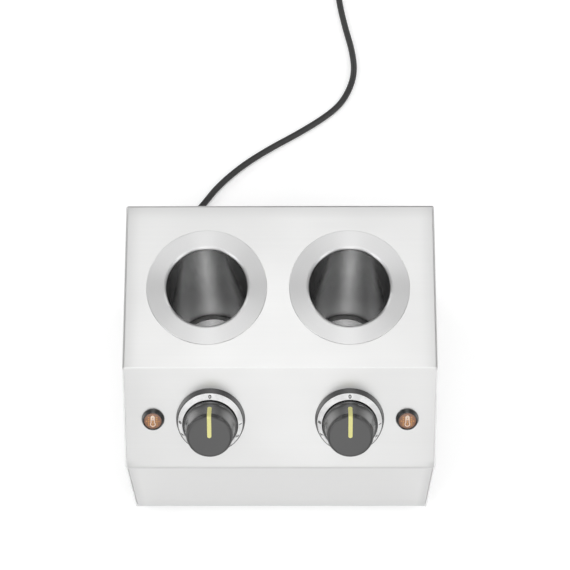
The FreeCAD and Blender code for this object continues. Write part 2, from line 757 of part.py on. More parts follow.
def inner_cord():
    """The cord's last stretch inside, from the gland to the terminal block."""
    start = BACK_Y - SHEET - GLAND_THREAD
    return Part.makeCylinder(CORD_R, start - BLOCK[3], V(CORD_X, start, CORD_EXIT_Z), V(0, -1, 0))


def panel_point(x, local_y, t):
    """World place of a point given on the control panel."""
    s = CONTROL_S - local_y
    y = FOLD_Y - s * math.cos(SLOPE) - t * math.sin(SLOPE)
    z = TOP_Z - s * math.sin(SLOPE) + t * math.cos(SLOPE)
    return (x, y, z)


def sensor(side):
    """Sensing bulb in the heater's gap, with its capillary to the thermostat's boss."""
    x = well_x(side)
    y = WELL_Y - POT_R - BULB_R
    low = TOP_Z + BAND_LOW + 10
    high = TOP_Z + BAND_HIGH - 2
    bulb = cylinder(BULB_R, low, high, x, y)
    capillary = bent_wire([(x, y, high), (x, y, high + 14), (x, y - 14, high + 20),
                           panel_point(side * KNOB_X, 0, -45), panel_point(side * KNOB_X, 0, -33)], CAPILLARY_R)
    return bulb.fuse(capillary)


def wires(side):
    """Leads from the terminal block to one side's thermostat, heater and lamp."""
    y0 = BLOCK[2]
    decks = (BOTTOM_Z + 3, BOTTOM_Z + 6, BOTTOM_Z + 9)
    tab_x = side * (KNOB_X + 11)
    lamp_x = side * LAMP_X + 3
    tab = [panel_point(tab_x, -9, -46), panel_point(tab_x, -9, -36)]
    lamp = [panel_point(lamp_x, 0, -45), panel_point(lamp_x, 0, -33)]
    angle = math.radians(POST_ANGLE)
    post_z = TOP_Z + BAND_MIDDLE - 15
    post = [(well_x(side) + r * math.cos(angle), WELL_Y + r * math.sin(angle), post_z)
            for r in (BAND_R + 14, BAND_R + 8)]
    starts = (-87.0, -95.5, -104.0) if side < 0 else (-78.0, -69.0, -60.0)
    routes = []
    for index, (start_x, end) in enumerate(zip(starts, (tab, post, lamp))):
        deck = decks[index]
        x, y, z = end[0]
        points = [(start_x, y0, deck)]
        if side > 0:
            lane = 52.0 - 4 * index
            points += [(start_x, lane, deck), (x, lane, deck)]
        else:
            points.append((start_x, y, deck))
        points += [(x, y, deck), end[0], end[1]]
        routes.append(points)
    return [bent_wire(points, WIRE_R) for points in routes]


def build():
    parts = {}
    shell = cabinet_shell()
    parts["housing_wrap"] = housing_wrap(shell)
    parts["side_panel_left"] = side_panel(shell, -1)
    parts["side_panel_right"] = side_panel(shell, 1)
    parts["front_panel"] = front_panel()
    parts["base_plate"] = base_plate()
    screw = pan_screw(3.6, 2.3, SCREW_R, 4.0)
    parts["base_screws"] = group([moved(screw, x, y, BOTTOM_Z - SHEET) for x, y in base_screw_places()])
    names = ("foot_front_left", "foot_front_right", "foot_back_left", "foot_back_right")
    foot_fasteners = []
    for name, (x, y) in zip(names, foot_places()):
        parts[name] = moved(foot(), x, y)
        foot_fasteners += [moved(piece, x, y) for piece in foot_screw()]
    parts["foot_screws"] = group(foot_fasteners)

    for name, side in (("left", -1), ("right", 1)):
        def at_well(shape):
            return moved(shape, well_x(side), WELL_Y, TOP_Z)
        parts["well_" + name] = at_well(well())
        parts["well_clamp_" + name] = at_well(well_clamp())
        parts["heater_band_" + name] = at_well(heater_band())
        parts["insulation_" + name] = at_well(insulation())
        parts["overheat_cutout_" + name] = at_well(overheat_cutout())
        parts["sensor_" + name] = sensor(side)
        parts["thermostat_" + name] = on_panel(thermostat(), side * KNOB_X)
        parts["knob_bezel_" + name] = on_panel(knob_bezel(), side * KNOB_X)
        parts["dial_ring_" + name] = on_panel(dial_ring(), side * KNOB_X)
        parts["knob_" + name] = on_panel(knob(), side * KNOB_X)
        parts["pointer_" + name] = on_panel(pointer(), side * KNOB_X)
        parts["shaft_" + name] = on_panel(shaft(), side * KNOB_X)
        parts["lamp_bezel_" + name] = on_panel(lamp_bezel(), side * LAMP_X, LAMP_S)
        parts["lamp_lens_" + name] = on_panel(lamp_lens(), side * LAMP_X, LAMP_S)
        parts["lamp_body_" + name] = on_panel(lamp_body(), side * LAMP_X, LAMP_S)
        parts["wiring_" + name] = group(wires(side))

    sides = (-1, 1)
    parts["heater_screws"] = group([moved(heater_screw(), well_x(side), WELL_Y, TOP_Z) for side in sides])
    fixings = [moved(thermostat_screw(), end * FIXING_SPACING / 2, 0) for end in sides]
    parts["thermostat_screws"] = group([on_panel(piece, side * KNOB_X) for side in sides for piece in fixings])
    parts["lamp_nuts"] = group([on_panel(lamp_nut(), side * LAMP_X, LAMP_S) for side in sides])
    parts["terminal_block"] = terminal_block()
    parts["earth_stud"] = earth_stud()
    parts["inner_cord"] = inner_cord()
    parts["gland_nut"] = gland_nut()
    parts["cord_strain_relief"] = strain_relief()
    parts["power_cord"] = power_cord()
    parts["cord_coil"] = cord_coil()
    centre = plug_centre()
    parts["power_plug"] = moved(plug_shape(), centre.x, centre.y)
    parts["plug_pins"] = group([moved(pin, centre.x, centre.y) for pin in plug_pins()])
    contacts = [moved(piece, centre.x, centre.y) for piece in plug_earth_contacts()]
    parts["plug_earth_contacts"] = group(contacts)
    return parts


def main():
    os.makedirs("parts", exist_ok=True)
    for name, shape in build().items():
        print("%-24s solids %d valid %s volume %.0f" % (name, len(shape.Solids), shape.isValid(), shape.Volume))
        shape.exportStep("parts/" + name + ".step")


main()
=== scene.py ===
# %% [markdown]
# # Topping warmer with two wells
# This lesson dresses a CAD model of a countertop topping warmer: a folded stainless cabinet, two deep round wells for
# sauce bottles, two thermostat knobs, two amber lamps and a power cord. The CAD model is loaded as a fixed frame.
# Each cell then adds one piece or one finish where the frame says it goes. Blender works in metres, and drawings are
# in millimetres, so outlines are written in millimetres and scaled once.

# %% Load the frame
import json
import math
import bmesh
import bpy
import numpy as np
from mathutils import Matrix, Vector


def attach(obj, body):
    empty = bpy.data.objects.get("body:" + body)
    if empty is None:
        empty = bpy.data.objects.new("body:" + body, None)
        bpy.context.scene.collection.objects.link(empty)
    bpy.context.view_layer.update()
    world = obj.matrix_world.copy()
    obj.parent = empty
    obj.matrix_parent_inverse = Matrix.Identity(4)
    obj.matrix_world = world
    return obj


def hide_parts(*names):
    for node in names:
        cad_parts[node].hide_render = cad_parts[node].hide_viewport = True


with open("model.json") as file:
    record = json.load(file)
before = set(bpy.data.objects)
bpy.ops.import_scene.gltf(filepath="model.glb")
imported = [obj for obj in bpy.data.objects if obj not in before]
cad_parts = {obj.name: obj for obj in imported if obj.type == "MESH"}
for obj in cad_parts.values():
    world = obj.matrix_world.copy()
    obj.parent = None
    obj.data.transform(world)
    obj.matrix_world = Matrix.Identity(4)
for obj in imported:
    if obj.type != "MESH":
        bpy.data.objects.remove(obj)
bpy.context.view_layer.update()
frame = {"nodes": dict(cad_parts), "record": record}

MM = 0.001
nodes = frame["nodes"]


def add_object(name, data):
    """Puts a mesh, curve, camera or lamp in the scene."""
    made = bpy.data.objects.new(name, data)
    bpy.context.scene.collection.objects.link(made)
    return made


# %% [markdown]
# ## Camera
# The picture looks down steeply from the front, with a long lens. A long lens keeps the cabinet's sides nearly
# parallel. The small shift keeps the object a little above the middle of the frame, as a photographer would crop it.
# The camera comes first, because it decides how much of the cord is seen.

# %% Camera
LENS_MM = 143.67
SENSOR_MM = 36.0
CAMERA_SHIFT = (0.01718, -0.05626)
CAMERA_PLACE = (0.01356, -0.65733, 2.14073)
CAMERA_TURN = (20.7156, 0.4921, 0.1113)         # degrees

camera_data = bpy.data.cameras.new("camera")
camera_data.lens = LENS_MM
camera_data.sensor_width = SENSOR_MM
camera_data.shift_x, camera_data.shift_y = CAMERA_SHIFT
camera = add_object("camera", camera_data)
camera.location = CAMERA_PLACE
camera.rotation_euler = [math.radians(a) for a in CAMERA_TURN]
bpy.context.scene.camera = camera
print("camera", round(camera.location.length, 3), "m from the cabinet's foot")

# %% [markdown]
# ## Sums in node trees
# A node tree for a brushed surface is mostly arithmetic. Placing every Math node by hand hides the formula, so a small
# class wraps a socket, and Python's operators add the Math nodes. One method adds any other node: its settings are
# set first, because they decide which sockets it has, and then its sockets get a value or a link. Two functions do
# what the Geometry Nodes trees have in common: one makes a tree's inputs, and the other ends a tree of instances.

# %% Node helpers
def operator(operation, swapped=False):
    def apply(self, term):
        pair = (term, self) if swapped else (self, term)
        return self.graph.node("ShaderNodeMath", {"operation": operation}, dict(enumerate(pair)))
    return apply


class Value:
    """A socket that can stand in a sum."""

    def __init__(self, graph, socket):
        self.graph = graph
        self.socket = socket

    __add__ = operator("ADD")
    __sub__ = operator("SUBTRACT")
    __rsub__ = operator("SUBTRACT", True)
    __mul__ = operator("MULTIPLY")
    __truediv__ = operator("DIVIDE")

    def out(self, name):
        """Another output of the same node."""
        return Value(self.graph, pick(self.socket.node.outputs, name))

    def function(self, operation, *more):
        """One of the Math node's functions, such as ABSOLUTE or PINGPONG."""
        return self.graph.node("ShaderNodeMath", {"operation": operation}, dict(enumerate((self, *more))))

    def between(self, low, high):
        """0 below low and 1 above high, with a smooth step from one to the other."""
        return self.graph.node("ShaderNodeMapRange", {"interpolation_type": "SMOOTHSTEP"},
                               {"Value": self, "From Min": low, "From Max": high})

    def band(self, outer_low, low, high, outer_high):
        """1 from low to high, fading to 0 at the outer limits."""
        return self.between(outer_low, low) * (1.0 - self.between(high, outer_high))


def pick(sockets, name):
    """A socket by number, or the one in use by name."""
    if isinstance(name, int):
        return sockets[name]
    return next(s for s in sockets if s.enabled and s.name == name)


class Graph:
    """A node tree of any kind."""

    def __init__(self, tree):
        self.tree = tree
        tree.nodes.clear()

    def node(self, kind, settings={}, inputs={}, output=0):
        made = self.tree.nodes.new(kind)
        for name, setting in settings.items():
            setattr(made, name, setting)
        for name, value in inputs.items():
            socket = pick(made.inputs, name)
            if isinstance(value, Value):
                self.tree.links.new(value.socket, socket)
            else:
                socket.default_value = value
        if not made.outputs:
            return made
        return Value(self, pick(made.outputs, output))


class Finish(Graph):
    """A material in the making."""

    def __init__(self, name):
        self.material = bpy.data.materials.new(name)
        self.material.use_nodes = True
        super().__init__(self.material.node_tree)

    def place(self, scale=(1, 1, 1), centre=(0, 0, 0), turn=(0, 0, 0)):
        """The point on the object in metres, about a centre, turned and stretched."""
        point = self.node("ShaderNodeTexCoord", output="Object")
        away = tuple(-c for c in centre)
        point = self.node("ShaderNodeMapping", {}, {"Vector": point, "Location": away})
        return self.node("ShaderNodeMapping", {}, {"Vector": point, "Rotation": turn, "Scale": scale})

    def axes(self, **place):
        """The x, y and z of that point."""
        x = self.node("ShaderNodeSeparateXYZ", {}, {"Vector": self.place(**place)}, "X")
        return x, x.out("Y"), x.out("Z")

    def noise(self, point, scale, detail):
        return self.node("ShaderNodeTexNoise", {}, {"Vector": point, "Scale": scale, "Detail": detail}, "Fac")

    def blend(self, share, first, second):
        """A colour between two colours."""
        return self.node("ShaderNodeMix", {"data_type": "RGBA"}, {"Factor": share, "A": first, "B": second}, "Result")

    def bump(self, height, distance, strength=1.0):
        return self.node("ShaderNodeBump", {}, {"Height": height, "Distance": distance, "Strength": strength})

    def surface(self, **inputs):
        """The shader, with its sockets named in words joined by underscores."""
        named = {name.replace("_", " "): value for name, value in inputs.items()}
        shader = self.node("ShaderNodeBsdfPrincipled", {}, named)
        self.node("ShaderNodeOutputMaterial", {}, {"Surface": shader})
        return self.material


def grey(level):
    return (level, level, level, 1.0)


SOCKETS = {float: "NodeSocketFloat", int: "NodeSocketInt", type(None): "NodeSocketGeometry"}


def start_tree(name, wanted):
    """Geometry Nodes tree with the wanted inputs, each a number or, for a geometry, None."""
    tree = bpy.data.node_groups.new(name, "GeometryNodeTree")
    for label, value in wanted.items():
        socket = tree.interface.new_socket(label, in_out="INPUT", socket_type=SOCKETS[type(value)])
        if value is not None:
            socket.default_value = value
    tree.interface.new_socket("Geometry", in_out="OUTPUT", socket_type="NodeSocketGeometry")
    return Graph(tree)


def end_tree(g, instances, material):
    """Makes the instances real, gives them a material and hands them out."""
    real = g.node("GeometryNodeRealizeInstances", {}, {"Geometry": instances})
    finished = g.node("GeometryNodeSetMaterial", {}, {"Geometry": real, "Material": material})
    g.node("NodeGroupOutput", {}, {"Geometry": finished})
    return g.tree


# %% [markdown]
# ## Black rubber and moulded plastic
# A cord's sheath is soft matt rubber: almost black, with a broad dull sheen and a very fine unevenness. Moulded
# plastic is a little glossier, and carries the fine spark-eroded grain of its mould. Both are one recipe with other
# numbers: two sizes of noise, one for the colour and roughness and one for the bump.

# %% Moulded finishes
CLOUDS = 45.0           # per metre
SPREAD = 0.12           # of the roughness
COAT_BLUR = 0.12


def moulded(name, dark, light, roughness, grain, depth, coat=0.0):
    """Plastic or rubber with a grain of the given size in metres."""
    f = Finish(name)
    cloud = f.noise(f.place(), CLOUDS, 3.0)
    fine = f.noise(f.place(), 1.0 / grain, 2.0)
    return f.surface(Base_Color=f.blend(cloud, dark, light), Roughness=cloud * SPREAD + (roughness - SPREAD / 2),
                     Normal=f.bump(fine, depth), Coat_Weight=coat, Coat_Roughness=COAT_BLUR)


cord_rubber = moulded("cord_rubber", grey(0.016), grey(0.026), 0.42, 0.0007, 0.00004)
plug_plastic = moulded("plug_plastic", grey(0.018), grey(0.028), 0.38, 0.0006, 0.00004)
foot_rubber = moulded("foot_rubber", grey(0.022), grey(0.034), 0.6, 0.0008, 0.00006)
print("moulded finishes ready")

# %% [markdown]
# ## The power cord
# A cord is one smooth line with a round section. It leaves its strain relief level, sinks to the table under its own
# weight, and runs back in a loose S. What the picture doesn't show is put away as a flat coil in two layers, with the
# plug beside it. A NURBS curve suits this: its control points are the route, and the line between them can't kink.
# The coil's turns are more control points of the same line, worked out by a loop.

# %% Route of the cord
CORD_D = 6.4
CORD_ROUTE = [
    (-97.5, 145.2, 21.5), (-97.5, 167.0, 21.5), (-90.0, 187.5, 9.5), (-78.4, 204.5, 3.2), (-64.8, 223.3, 3.2),
    (-40.5, 245.8, 3.2), (-13.0, 264.5, 3.2), (16.0, 281.2, 3.2), (41.0, 297.5, 3.2), (59.0, 312.5, 3.2),
    (69.5, 329.8, 3.2), (75.5, 350.5, 3.2), (73.5, 374.0, 3.2), (66.5, 401.0, 3.2), (60.5, 429.0, 3.2),
    (57.5, 458.0, 3.2), (57.5, 485.0, 3.2),
]
COIL_R = 42.0
COIL_PITCH = 7.2
COIL_CENTRE = (15.5, 491.4)
COIL_TAIL = 14.0        # from the coil's middle to the plug, along y
RUN_IN = 1.5            # the first and last points beside the coil, along y
LAYER_TURNS = 2.5
TURN_POINTS = 16


def coil_points():
    """In along the table, up one layer, and out again on top."""
    points = []
    reach = 1 / math.cos(math.pi / TURN_POINTS)
    for i in range(1, int(2 * LAYER_TURNS * TURN_POINTS)):
        turns = i / TURN_POINTS
        radius = (COIL_R - COIL_PITCH * (LAYER_TURNS - abs(turns - LAYER_TURNS))) * reach
        climbed = min(max((turns - LAYER_TURNS) * 2 + 0.5, 0.0), 1.0)
        angle = turns * 2 * math.pi
        points.append((COIL_CENTRE[0] + radius * math.cos(angle), COIL_CENTRE[1] + radius * math.sin(angle),
                       CORD_D / 2 + COIL_PITCH * climbed))
    return points


tail_x = COIL_CENTRE[0] + COIL_R
top_layer = CORD_D / 2 + COIL_PITCH
tail = [(tail_x, COIL_CENTRE[1] + y, top_layer) for y in (RUN_IN, COIL_TAIL)]
cord_points = CORD_ROUTE + [(tail_x, COIL_CENTRE[1] - RUN_IN, CORD_D / 2)] + coil_points() + tail

# %% Cord
cord_curve = bpy.data.curves.new("cord", "CURVE")
cord_curve.dimensions = "3D"
spline = cord_curve.splines.new("NURBS")
spline.points.add(len(cord_points) - 1)
for point, (x, y, z) in zip(spline.points, cord_points):
    point.co = (x * MM, y * MM, z * MM, 1.0)
spline.order_u = 3
spline.use_endpoint_u = True
spline.resolution_u = 10
cord_curve.bevel_depth = CORD_D / 2 * MM
cord_curve.bevel_resolution = 6
cord_curve.use_fill_caps = True
cord = add_object("cord", cord_curve)
cord_curve.materials.append(cord_rubber)
print("cord of", len(cord_points), "control points")

# %% [markdown]
# ## Turned pieces
# Wells, knobs, bezels, dial rings and lamps are all turned about an axis. The CAD solids have few facets, so each is
# drawn again here as a half outline that is swept round in many small steps. A lathe in code needs three cares. Sharp
# corners get a small rounding, so that they catch light as real edges do. A loop of points is set close beside each
# rounding, so that smooth shading doesn't run into the flats. The pole is one vertex, not a ring of them.

# %% Lathe
HOLD = 0.12             # from a rounding to the points that keep the flats flat, in millimetres
SAME_SPOT = 1e-7        # metres
ON_AXIS = 1e-6          # millimetres
SHARP_TURNED = math.radians(38)


def rounded(outline, steps=6):
    """Outline of (r, z) or (r, z, radius) points as plain points, with the corners that have a radius rounded."""
    points = []
    last = len(outline) - 1
    for i, corner in enumerate(outline):
        here = Vector(corner[:2])
        radius = corner[2] if len(corner) > 2 else 0.0
        if radius == 0 or i in (0, last):
            points.append(here)
            continue
        before = (here - Vector(outline[i - 1][:2])).normalized()
        after = (Vector(outline[i + 1][:2]) - here).normalized()
        half = before.angle(after) / 2
        reach = radius * math.tan(half)
        start = here - before * reach
        end = here + after * reach
        centre = here + (after - before).normalized() * (radius / math.cos(half))
        points.append(start - before * HOLD)
        for k in range(steps + 1):
            way = start.lerp(end, k / steps) - centre
            points.append(centre + way.normalized() * radius)
        points.append(end + after * HOLD)
    return points


def make_piece(name, verts, faces, place, material):
    """Mesh object with its place in its vertices, given in millimetres."""
    mesh = bpy.data.meshes.new(name)
    mesh.from_pydata([place @ (Vector(v) * MM) for v in verts], [], faces)
    work = bmesh.new()
    work.from_mesh(mesh)
    bmesh.ops.remove_doubles(work, verts=work.verts, dist=SAME_SPOT)
    bmesh.ops.recalc_face_normals(work, faces=work.faces)
    work.to_mesh(mesh)
    work.free()
    mesh.shade_smooth()
    mesh.set_sharp_from_angle(angle=SHARP_TURNED)
    mesh.materials.append(material)
    return add_object(name, mesh)


def lathe(name, outline, place, material, steps=144):
    """Turns an outline about Z. One that neither starts nor ends on the axis is closed into a ring."""
    points = rounded(outline)
    ring = points[0].x > 0 and points[-1].x > 0
    verts = []
    rows = []
    for point in points:
        if point.x < ON_AXIS:
            rows.append([len(verts)] * steps)
            verts.append((0, 0, point.y))
            continue
        rows.append(range(len(verts), len(verts) + steps))
        verts += [(point.x * math.cos(a), point.x * math.sin(a), point.y)
                  for a in np.linspace(0, 2 * math.pi, steps, endpoint=False)]
    faces = []
    for low, high in zip(rows, rows[1:] + rows[:1] if ring else rows[1:]):
        for i in range(steps):
            j = (i + 1) % steps
            corners = [low[i], low[j], high[j], high[i]]
            faces.append(list(dict.fromkeys(corners)))
    return make_piece(name, verts, faces, place, material)


def settle(piece, body, slot, *stands_for):
    """Gives a finished piece its body and hides the frame's nodes that it stands for. The slot is not used."""
    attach(piece, body)
    if stands_for:
        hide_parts(*stands_for)


settle(cord, "cabinet", "cord_rubber", "power_cord", "cord_coil")

# %% [markdown]
# ## Stainless sheet
# The cabinet is folded from satin stainless sheet. Its grain is a rub of long thin scratches that all run one way,
# left to right on the wrap and the front, and front to back on the sides. Noise stretched a few hundred times along
# the grain gives that. It moves the colour by a few percent and the roughness by more, since roughness is what makes
# brushed metal glow softly. A second, wide noise is the faint cloudiness of handled steel. The sheets' reflections are
# blurred more along the grain than across it, so the shader gets one tangent for the whole sheet.
#
# Folding and welding also pull a thin sheet down a little near its bends. A flat panel would reflect one even grey up
# to its edge, but the real one darkens softly in its last centimetre. The fall is a few hundredths of a millimetre, so
# it is a bump and not a shape: the square of the distance past a line near the edge. The slanted panel falls half as
# much. The side panels' corners beside the slanted panel and the front have a painted highlight: a near-white grey
# that brightens their reflection. The last centimetre of the front beside them and the narrow lip have painted shade:
# a darker grey for the shade beside the corners and the shadow line under the lip.
#
# The sheets themselves are the CAD solids. Their triangles are loose, so a modifier merges them and marks the edges
# that stay sharp, and a second one weighs the normals by area, which keeps big flats flat beside their bends.

# %% Brushed steel
EDGE_BAND = 0.012
BACK_EDGE = 0.1132
EDGE_FALL = 2.0
GRAIN = 2400.0
ALONG = 7.0
COARSE = 0.22           # the wider bands of scratches, as a share of the fine ones' scale
HANDLED = 11.0
SCRATCH = 0.0000008

# Where the zones fade in and out, in metres: forward from the origin, aside from the middle, up from the table
SLOPE_FORWARD = (0.036, 0.042, 0.107, 0.112)
HIGHLIGHT_FORWARD = (0.039, 0.042)
HIGHLIGHT_CORNER = (0.1105, 0.1123)
HIGHLIGHT_ASIDE = (0.1394, 0.1399)
FRONT_HIGHLIGHT_LOSS = 0.42
SHADE_ASIDE = (0.128, 0.137)
SHADE_UP = (0.144, 0.147)
LIP_UP = (0.147, 0.1485, 0.1515, 0.153)
FRONT_FORWARD = (0.108, 0.1105)


def edge_fall(f, half_width):
    """How far the sheet falls near its side and back bends, in metres."""
    x, y, _ = f.axes()
    on_slope = (0.0 - y).band(*SLOPE_FORWARD)
    past_side = (x.function("ABSOLUTE") - (half_width - EDGE_BAND)).function("MAXIMUM", 0.0) * (1.0 - on_slope * 0.5)
    past_back = (y - (BACK_EDGE - EDGE_BAND)).function("MAXIMUM", 0.0)
    return (past_side * past_side + past_back * past_back) * EDGE_FALL


def painted_corner_highlight(f):
    """Mask of a painted highlight: 1 on the side corners beside the slanted panel, a little over half beside the front,
    and 0 elsewhere.
    """
    x, y, _ = f.axes()
    ahead = 0.0 - y
    along = ahead.between(*HIGHLIGHT_FORWARD) - ahead.between(*HIGHLIGHT_CORNER) * FRONT_HIGHLIGHT_LOSS
    return (1.0 - x.function("ABSOLUTE").between(*HIGHLIGHT_ASIDE)) * along


def painted_seam_shade(f):
    """Mask of painted shade: 1 on the narrow lip, and rising to 1 over the last centimetre of the lower front, beside
    its side corners.
    """
    x, y, z = f.axes()
    beside = x.function("ABSOLUTE").between(*SHADE_ASIDE) * (1.0 - z.between(*SHADE_UP))
    return (beside + z.band(*LIP_UP)) * (0.0 - y).between(*FRONT_FORWARD)


def brushed_steel(name, scale, dark=0.60, light=0.67, roughness=0.32, grain_way=(1, 0, 0), half_width=1.0,
                  painted_mask=None, painted_grey=0.0):
    """Sheet steel with its grain along the axis whose scale is small, and another grey painted where a mask says, for
    painted shade or painted highlight.
    """
    f = Finish(name)
    along = f.node("ShaderNodeCombineXYZ", {}, dict(enumerate(grain_way)))
    fine = f.noise(f.place(scale), 1.0, 3.0)
    bands = f.noise(f.place([s * COARSE for s in scale]), 1.0, 1.0)
    cloud = f.noise(f.place(), HANDLED, 2.0)
    share = fine * 0.25 + bands * 0.25 + cloud * 0.5
    colour = f.blend(share, (dark, dark, dark * 0.995, 1), (light, light, light * 0.995, 1))
    if painted_mask:
        colour = f.blend(painted_mask(f), colour, grey(painted_grey))
    rough = fine * 0.06 + cloud * 0.10 + (roughness - 0.08)
    return f.surface(Base_Color=colour, Metallic=1.0, Roughness=rough, Tangent=along, Anisotropic=0.45,
                     Normal=f.bump(fine * SCRATCH - edge_fall(f, half_width), 1.0))


# The wrap and front get a darker grey on the lip and beside the front's corners: painted shade for the shadow line
# under the lip and the shade beside the corners.
wrap_steel = brushed_steel("wrap_steel", (ALONG, GRAIN, GRAIN), half_width=0.138, painted_mask=painted_seam_shade, painted_grey=0.55)
# The side panels get a near-white grey on their corner bends: a painted highlight in place of a brighter reflection.
side_steel = brushed_steel("side_steel", (GRAIN, ALONG, GRAIN), 0.54, 0.62, grain_way=(0, 1, 0), painted_mask=painted_corner_highlight,
                           painted_grey=0.9)
zinc_steel = brushed_steel("zinc_steel", (90.0, 90.0, 90.0), 0.5, 0.66, 0.42)

# %% Smooth bends on the sheets
SHARP_SHEET = math.radians(30)
SAME_CORNER = 0.000002


def sheet_tree():
    g = start_tree("merge_and_mark", {"Geometry": None, "Sharp From": SHARP_SHEET})
    given = g.node("NodeGroupInput", output="Geometry")
    merged = g.node("GeometryNodeMergeByDistance", {}, {"Geometry": given, "Distance": SAME_CORNER})
    angle = g.node("GeometryNodeInputMeshEdgeAngle", output="Unsigned Angle")
    sharp = g.node("FunctionNodeCompare", {"operation": "GREATER_THAN"}, {"A": angle, "B": given.out("Sharp From")})
    smooth = g.node("GeometryNodeSetShadeSmooth", {"domain": "FACE"}, {"Geometry": merged, "Shade Smooth": True})
    marked = g.node("GeometryNodeStoreNamedAttribute", {"data_type": "BOOLEAN", "domain": "EDGE"},
                    {"Geometry": smooth, "Name": "sharp_edge", "Value": sharp})
    g.node("NodeGroupOutput", {}, {"Geometry": marked})
    return g.tree


merge_and_mark = sheet_tree()
for name in ("housing_wrap", "side_panel_left", "side_panel_right", "front_panel", "base_plate"):
    sheet = nodes[name]
    sheet.modifiers.new("merge", "NODES").node_group = merge_and_mark
    weighted = sheet.modifiers.new("weigh", "WEIGHTED_NORMAL")
    weighted.keep_sharp = True
    weighted.weight = 100
print("sheets smoothed")

# %% [markdown]
# ## Wells
# Each well is a pot drawn from one disc of steel, with a flat flange that lies on the top panel and a rounded lip where
# the flange turns down. It was polished on a lathe, so its fine lines run in circles. Two things give that look. The
# shader's anisotropy stretches highlights across the circles, which puts a light and a dark fan on the flange and a
# bright upright streak in the pot. A noise that only changes with the radius and the depth draws the lines themselves.
# Inside, the colour darkens with the depth: painted shade for the dim deep wall. The bend at the floor is rough and mid
# grey, and the floor is painted near white, a painted highlight that strengthens its reflection of the opening.

# %% Turned steel
TOP_Z = 220.5
WELL_SPACING = 128.2
WELLS_MIDDLE = -1.7
WELL_Y = 36.0
FLANGE = 1.0
LATHE_LINES = 2200.0    # per metre

# Where the zones of a well fade in, in metres: up from the flange's face, or out from the axis
FLANGE_UP = (-0.0035, -0.0002)
DEPTH_SHADE_UP = (-0.14, -0.01)
FLOOR_UP = (-0.1845, -0.181)
BEND_OUT = (0.0332, 0.0337)


def turned_steel(name, centre):
    f = Finish(name)
    x, y, z = f.axes(centre=centre)
    radius = (x * x + y * y).function("SQRT")
    circles = f.node("ShaderNodeCombineXYZ", {}, {
        "X": radius * LATHE_LINES, "Y": x / radius * 0.8, "Z": z * LATHE_LINES})
    lines = f.noise(circles, 1.0, 3.0)
    flange = z.between(*FLANGE_UP)
    low = 1.0 - z.between(*FLOOR_UP)
    bend = low * radius.between(*BEND_OUT)
    floor = low - bend
    rough = lines * 0.08 + flange * 0.22 + bend * 0.5 - floor * 0.04 + 0.17
    # Painted shade: the wall's colour falls to a dark grey towards the floor. Painted highlight: the floor's near-white
    # colour strengthens its reflection.
    deep_wall_shade = f.blend(lines, grey(0.16), grey(0.20))
    steel_wall = f.blend(lines, grey(0.60), grey(0.66))
    wall = f.blend(z.between(*DEPTH_SHADE_UP), deep_wall_shade, steel_wall)
    inside = f.blend(floor, f.blend(bend, wall, grey(0.6)), grey(0.95))
    outside = f.blend(lines, grey(0.62), grey(0.68))
    return f.surface(Base_Color=f.blend(flange, inside, outside), Metallic=1.0, Roughness=rough,
                     Anisotropic=0.82, Anisotropic_Rotation=0.25, Normal=f.bump(lines, 0.000006, 0.5))


# %% Wells
WELL_OUTLINE = [
    (0, -186), (36.3, -186, 3), (36.3, 1, 3), (54.2, 1, 0.35), (54.2, 0), (37.3, 0, 2), (37.3, -187, 4), (0, -187),
]
SIDES = (("left", -1), ("right", 1))
for name, side in SIDES:
    centre = Vector((WELLS_MIDDLE + side * WELL_SPACING / 2, WELL_Y, TOP_Z)) * MM
    steel = turned_steel("well_steel_" + name, (centre.x, centre.y, centre.z + FLANGE * MM))
    pot = lathe("well_pot_" + name, WELL_OUTLINE, Matrix.Translation(centre), steel, 192)
    settle(pot, "cabinet", "well_steel", "well_" + name)
print("wells", len(pot.data.vertices), "vertices each")

# %% [markdown]
# ## On the control panel
# Everything on the panel is drawn about its own axis, with Z out of the panel and Y up the slope, and is then put in
# place by one matrix.

# %% Panel place
SLOPE_DROP = 67.8
SLOPE_RUN = 72.7
SLOPE = math.atan2(SLOPE_DROP, SLOPE_RUN)
FOLD_Y = -39.8
CONTROL_S = 51.1
KNOB_X = 62.1
LAMP_S = 50.5
LAMP_X = 113.6


def on_panel(x, s=CONTROL_S):
    """Matrix that puts a piece on the panel, s millimetres down from the fold."""
    place = Vector((x, FOLD_Y - s * math.cos(SLOPE), TOP_Z - s * math.sin(SLOPE))) * MM
    return Matrix.Translation(place) @ Matrix.Rotation(SLOPE, 4, "X")


# %% [markdown]
# ## Bezel and dial ring
# Round each knob a black moulded ring stands on the panel, and a bright conical ring in it carries the numbers. The
# bright ring is coated a satin silver and brushed round. Circles of fine lines come from a noise over the radius. The
# slow light and dark fans round the ring come from a noise over the direction, which has no seam, because it is read
# on a circle.

# %% Bezels and dials
bezel_plastic = moulded("bezel_plastic", grey(0.035), grey(0.05), 0.30, 0.0005, 0.00002, coat=0.5)
DIAL_LINES = 3000.0     # per metre
FANS = 4.0              # radius of the circle on which their noise is read
FAN_FADE = (0.35, 0.65)
DIALS_APART = 90.0      # puts the two dials in different parts of the noise


def dial_metal(name, place):
    f = Finish(name)
    centre = place.to_translation()
    x, y, z = f.axes(centre=tuple(centre))
    radius = (x * x + y * y + z * z).function("SQRT")
    lines = f.noise(f.node("ShaderNodeCombineXYZ", {}, {"X": radius * DIAL_LINES}), 1.0, 2.0)
    around = f.node("ShaderNodeCombineXYZ", {}, {
        "X": x / radius * FANS, "Y": y / radius * FANS, "Z": centre.x * DIALS_APART})
    fans = f.noise(around, 1.0, 2.0).between(*FAN_FADE)
    return f.surface(Base_Color=f.blend(fans * 0.8 + lines * 0.2, grey(0.78), grey(0.95)), Metallic=0.2,
                     Roughness=lines * 0.1 + 0.3, Normal=f.bump(lines, 0.000004, 0.4))


